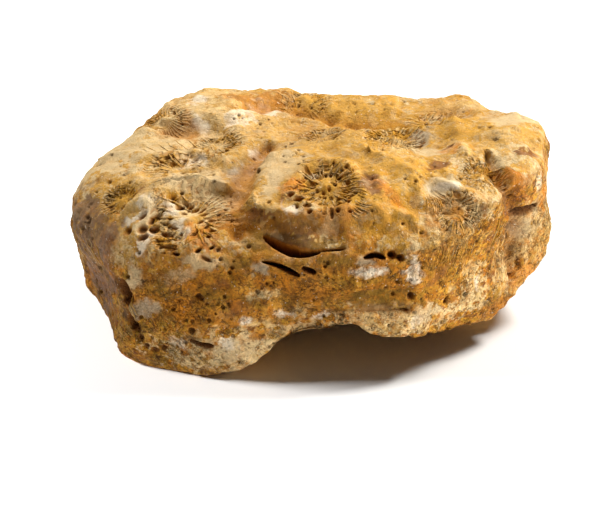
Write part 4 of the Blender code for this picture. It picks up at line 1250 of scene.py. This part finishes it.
def stoneMaterial():
    material = bpy.data.materials.new("fossilStone")
    material.use_nodes = True
    tree = material.node_tree
    shader = tree.nodes["Principled BSDF"]
    shader.inputs["Specular IOR Level"].default_value = finish["shine"]
    wire = Wire(tree)
    place = wire.node("ShaderNodeTexCoord", output="Object")
    inMm = wire.vector("SCALE", {0: place, "Scale": 1.0 / mm})

    def cloud(wavelength, detail=3.0, distort=0.0, shift=0.0):
        moved = wire.vector("ADD", {0: inMm, 1: (shift, shift, shift)})
        return wire.node("ShaderNodeTexNoise", {}, {
            "Vector": moved, "Scale": 1.0 / wavelength, "Detail": detail,
            "Roughness": finish["cloudRoughness"], "Distortion": distort})

    def layer(name, output="Fac"):
        return wire.node("ShaderNodeAttribute", {"attribute_name": name}, output=output)

    def crease(wavelength, width, shift):  # one along a net of fine cracks
        return wire.maths("ABSOLUTE", cloud(wavelength, 4.0, 0.4, shift) - 0.5).step(width, 0.0)

    broad, middle, small = cloud(10.0), cloud(3.4, shift=31.0), cloud(1.2, 4.0, shift=57.0)
    grain = cloud(0.42, 3.0, shift=83.0)
    tone = broad * 0.25 + middle * 0.4 + small * 0.35

    def ramp(colours):
        stops = [(at, palette[shade]) for at, shade in finish[colours]]
        return wire.node("ShaderNodeValToRGB", {"stops": stops}, {"Fac": tone})

    upward = (layer("upward") + (middle - 0.5) * 1.4).step(0.0, 0.8)

    cover = layer("stain", "Alpha")
    ragged = (cover + (small - 0.5) * 1.6 + (grain - 0.5) * 0.6).step(0.25, 0.75)
    bare = upward.mixed(ramp("sideColours"), ramp("topColours"))
    colour = (ragged * covers["stains"]).mixed(bare, layer("stain", "Color"))
    even = layer("even")
    for number, (shade, wavelength, start, full, inFront, onTop) in enumerate(mottles):
        patch = cloud(wavelength, 4.0, 0.6, 101.0 + 13.0 * number).step(start, full)
        strength = (upward * (onTop - inFront) + inFront) * (1.0 - even) * (1.0 - ragged * 0.4)
        colour = (patch * strength).mixed(colour, rgb(shade))

    # fine ribs round each cup, with bars across them
    cup = wire.node("ShaderNodeSeparateXYZ", {}, {"Vector": layer("cupPlace", "Vector")})
    along, up, away = cup, cup.other("Y"), cup.other("Z")
    angle = wire.maths("ARCTAN2", up, along)
    distance = wire.maths("SQRT", along * along + up * up)
    rib = wire.maths("SINE", angle * finish["radialRibs"] + middle * 9.0).step(-0.5, 0.9)
    bar = wire.maths("SINE", distance * (math.tau / finish["crossSpacing"]) + small * 12.0).step(-0.2, 0.8)
    reach = away.step(0.45, 0.9) * (1.0 - away.step(finish["radialReach"] * 0.6, finish["radialReach"]))
    reach = reach * cloud(4.0, 1.0, shift=7.0).step(0.42, 0.56)  # only here and there
    holes = (1.0 - rib) * (1.0 - bar) * reach
    colour = (rib * reach * covers["radialRibs"]).mixed(colour, rgb("cream"))
    colour = (holes * covers["radialHoles"]).mixed(colour, rgb("rust"))

    # worn high places are paler; low places are darker, red-brown on the sides and rust on top
    height = layer("fineRelief")
    worn = height.step(0.1, 1.6) * (upward * 0.3 + 0.05) * (1.0 - ragged * 0.8)
    colour = worn.mixed(colour, rgb("cream"))
    low = (height * -1.0).step(0.2, 2.0)
    lowTint = upward.mixed(rgb("redBrown"), rgb("rust"))
    colour = (low * covers["lowTint"]).mixed(colour, lowTint)

    # rusty veins, dark cracks and specks, white crystal specks that are partly painted glints
    veins = crease(5.0, 0.035, 11.0) * (1.0 - even) * (1.0 - upward * 0.8)
    colour = (veins * covers["veins"]).mixed(colour, rgb("rust"))
    cracks = crease(2.4, 0.035, 151.0) * middle.step(0.46, 0.56)
    cracks = cracks + crease(1.1, 0.05, 163.0) * broad.step(0.48, 0.56) * 0.7
    cracks = cracks.clamped() * (1.0 - even * 0.8) * (1.0 - upward * 0.75)
    colour = (cracks * covers["cracks"]).mixed(colour, rgb("umber"))
    speck = cloud(0.7, 2.0, shift=17.0)
    colour = (speck.step(0.36, 0.28) * (1.0 - even) * (0.8 - upward * 0.65)).mixed(colour, rgb("umber"))
    crystalGlints = cloud(0.6, 2.0, shift=23.0).step(0.66, 0.74)
    colour = (crystalGlints * covers["crystalGlints"]).mixed(colour, rgb("chalk"))

    # the septa, and painted shade, partly dirt, in the gaps, slits, pits and pores
    tinted = middle.step(0.45, 0.60).mixed(rgb("gold"), rgb("cream"))
    colour = (layer("rib").clamped() * covers["septa"]).mixed(colour, tinted)
    hollow, pore = layer("hollow").clamped(), layer("pore").clamped()
    colour = (hollow.step(0.05, 0.6) * covers["hollowDirtAndShade"]).mixed(colour, lowTint)
    dark = hollow.step(0.45, 1.0) * covers["hollowDeepShade"] + pore * covers["poreShade"]
    colour = dark.clamped().mixed(colour, rgb("umber"))

    # every grain of sand and crystal takes the light differently
    contrast = finish["grainContrast"] * (1.0 - even * 0.6) * (1.0 - upward * 0.5)
    sparkle = ((grain - 0.5) * contrast + (small - 0.5) * contrast * 0.6 + 1.0).clamped(0.45, 1.6)
    colour = wire.vector("SCALE", {0: colour, "Scale": sparkle})
    tree.links.new(colour.socket, shader.inputs["Base Color"])

    polished = layer("gloss") * (1.0 - hollow)
    roughness = finish["roughness"] - polished * (finish["roughness"] - finish["wornRoughness"])
    roughness = roughness + (small - 0.5) * 0.2
    tree.links.new(roughness.clamped(0.2).socket, shader.inputs["Roughness"])
    relief = small * 0.7 + grain * 0.35 - speck.step(0.42, 0.3) * 0.3
    relief = relief * (1.0 - even * 0.7) * (1.0 - upward * 0.4)
    relief = relief + rib * reach * 0.3 - holes * 0.4 - cracks * 0.45
    bumps = wire.node("ShaderNodeBump", {}, {"Height": relief, "Strength": finish["bump"],
                                             "Distance": finish["bumpDistance"]})
    tree.links.new(bumps.socket, shader.inputs["Normal"])
    return material


body, formBox = carveStone()
print("stone carved:", len(body.data.polygons), "faces")
fossilStone = stoneMaterial()
runTree(body, poreTree(), {**pores, "Material": fossilStone})
print("pores sunk")
thinOut(body)
body.name = body.data.name = "coral_stone"
body.data.shade_smooth()
print("stone thinned:", len(body.data.polygons), "faces")
ribs = growRibs(body, fossilStone)
print("septa grown:", sum(len(face.vertices) - 2 for face in ribs.data.polygons), "triangles")
for piece in (body, ribs):
    paintStains(piece.data)
    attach(piece, "root")
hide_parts("fossil_coral_head")
print("stone painted")

stage = {
    "floorSize": 4.0,  # metres
    "floorColour": (0.9, 0.9, 0.9, 1),
    "floorRoughness": 0.9,
    "cameraAim": (-0.0010, -0.0040, 0.0145),
    "cameraAway": 0.40,
    "cameraRise": 23.0,  # degrees
    "lens": 123.5,
    "roomLight": 0.06,
}

# place, aim, size (all in metres), watts, colour, what it lights
softboxes = {
    "topLight": ((0.02, 0.17, 0.52), (0, 0, 0.02), (0.4, 0.3), 4.9, (1.0, 0.975, 0.93), "stone"),
    "rightFill": ((0.50, -0.10, 0.12), (0, 0, 0.02), (0.25, 0.2), 3.9, (1.0, 0.97, 0.92), "stone"),
    "floorTop": ((0.27, 0.10, 0.42), (0, 0, 0), (0.14, 0.14), 3.2, (1.0, 0.99, 0.96), "floor"),
    "floorLeft": ((-0.45, -0.02, 0.22), (-0.02, 0, 0), (0.14, 0.1), 4.8, (1.0, 1.0, 1.0), "floor"),
}


def buildFloor():
    half = stage["floorSize"] / 2
    mesh = bpy.data.meshes.new("floor")
    corners = [(-half, -half, 0), (half, -half, 0), (half, half, 0), (-half, half, 0)]
    mesh.from_pydata(corners, [], [range(4)])
    floor = addToScene("floor", mesh)
    paper = bpy.data.materials.new("palePaper")
    paper.use_nodes = True
    sockets = paper.node_tree.nodes["Principled BSDF"].inputs
    sockets["Base Color"].default_value = stage["floorColour"]
    sockets["Roughness"].default_value = stage["floorRoughness"]
    mesh.materials.append(paper)
    return floor


def addSoftbox(name, place, aim, size, power, colour, pieces):  # lights only these pieces
    light = bpy.data.lights.new(name, "AREA")
    light.shape = "RECTANGLE"
    light.size, light.size_y = size
    light.energy = power
    light.color = colour
    lamp = addToScene(name, light)
    lamp.location = place
    lamp.rotation_euler = (Vector(aim) - Vector(place)).to_track_quat("-Z", "Y").to_euler()
    lit = bpy.data.collections.new(name + "Lights")
    for piece in pieces:
        lit.objects.link(piece)
    lamp.light_linking.receiver_collection = lit


def addCamera():
    camera = bpy.data.cameras.new("camera")
    camera.lens = stage["lens"]
    camera.clip_start = 0.01
    eye = addToScene("camera", camera)
    rise = math.radians(stage["cameraRise"])
    away = Vector((0, -math.cos(rise), math.sin(rise))) * stage["cameraAway"]
    eye.location = Vector(stage["cameraAim"]) + away
    eye.rotation_euler = (-away).to_track_quat("-Z", "Y").to_euler()
    bpy.context.scene.camera = eye


def lightRoom(floor):
    world = bpy.data.worlds.new("room")
    world.use_nodes = True
    world.node_tree.nodes["Background"].inputs["Color"].default_value = (1, 1, 1, 1)
    world.node_tree.nodes["Background"].inputs["Strength"].default_value = stage["roomLight"]
    bpy.context.scene.world = world
    pieces = {"stone": (body, ribs), "floor": (floor,)}
    for name, (*form, lights) in softboxes.items():
        addSoftbox(name, *form, pieces[lights])
    bpy.context.scene.view_settings.view_transform = "Standard"


lightRoom(buildFloor())
addCamera()
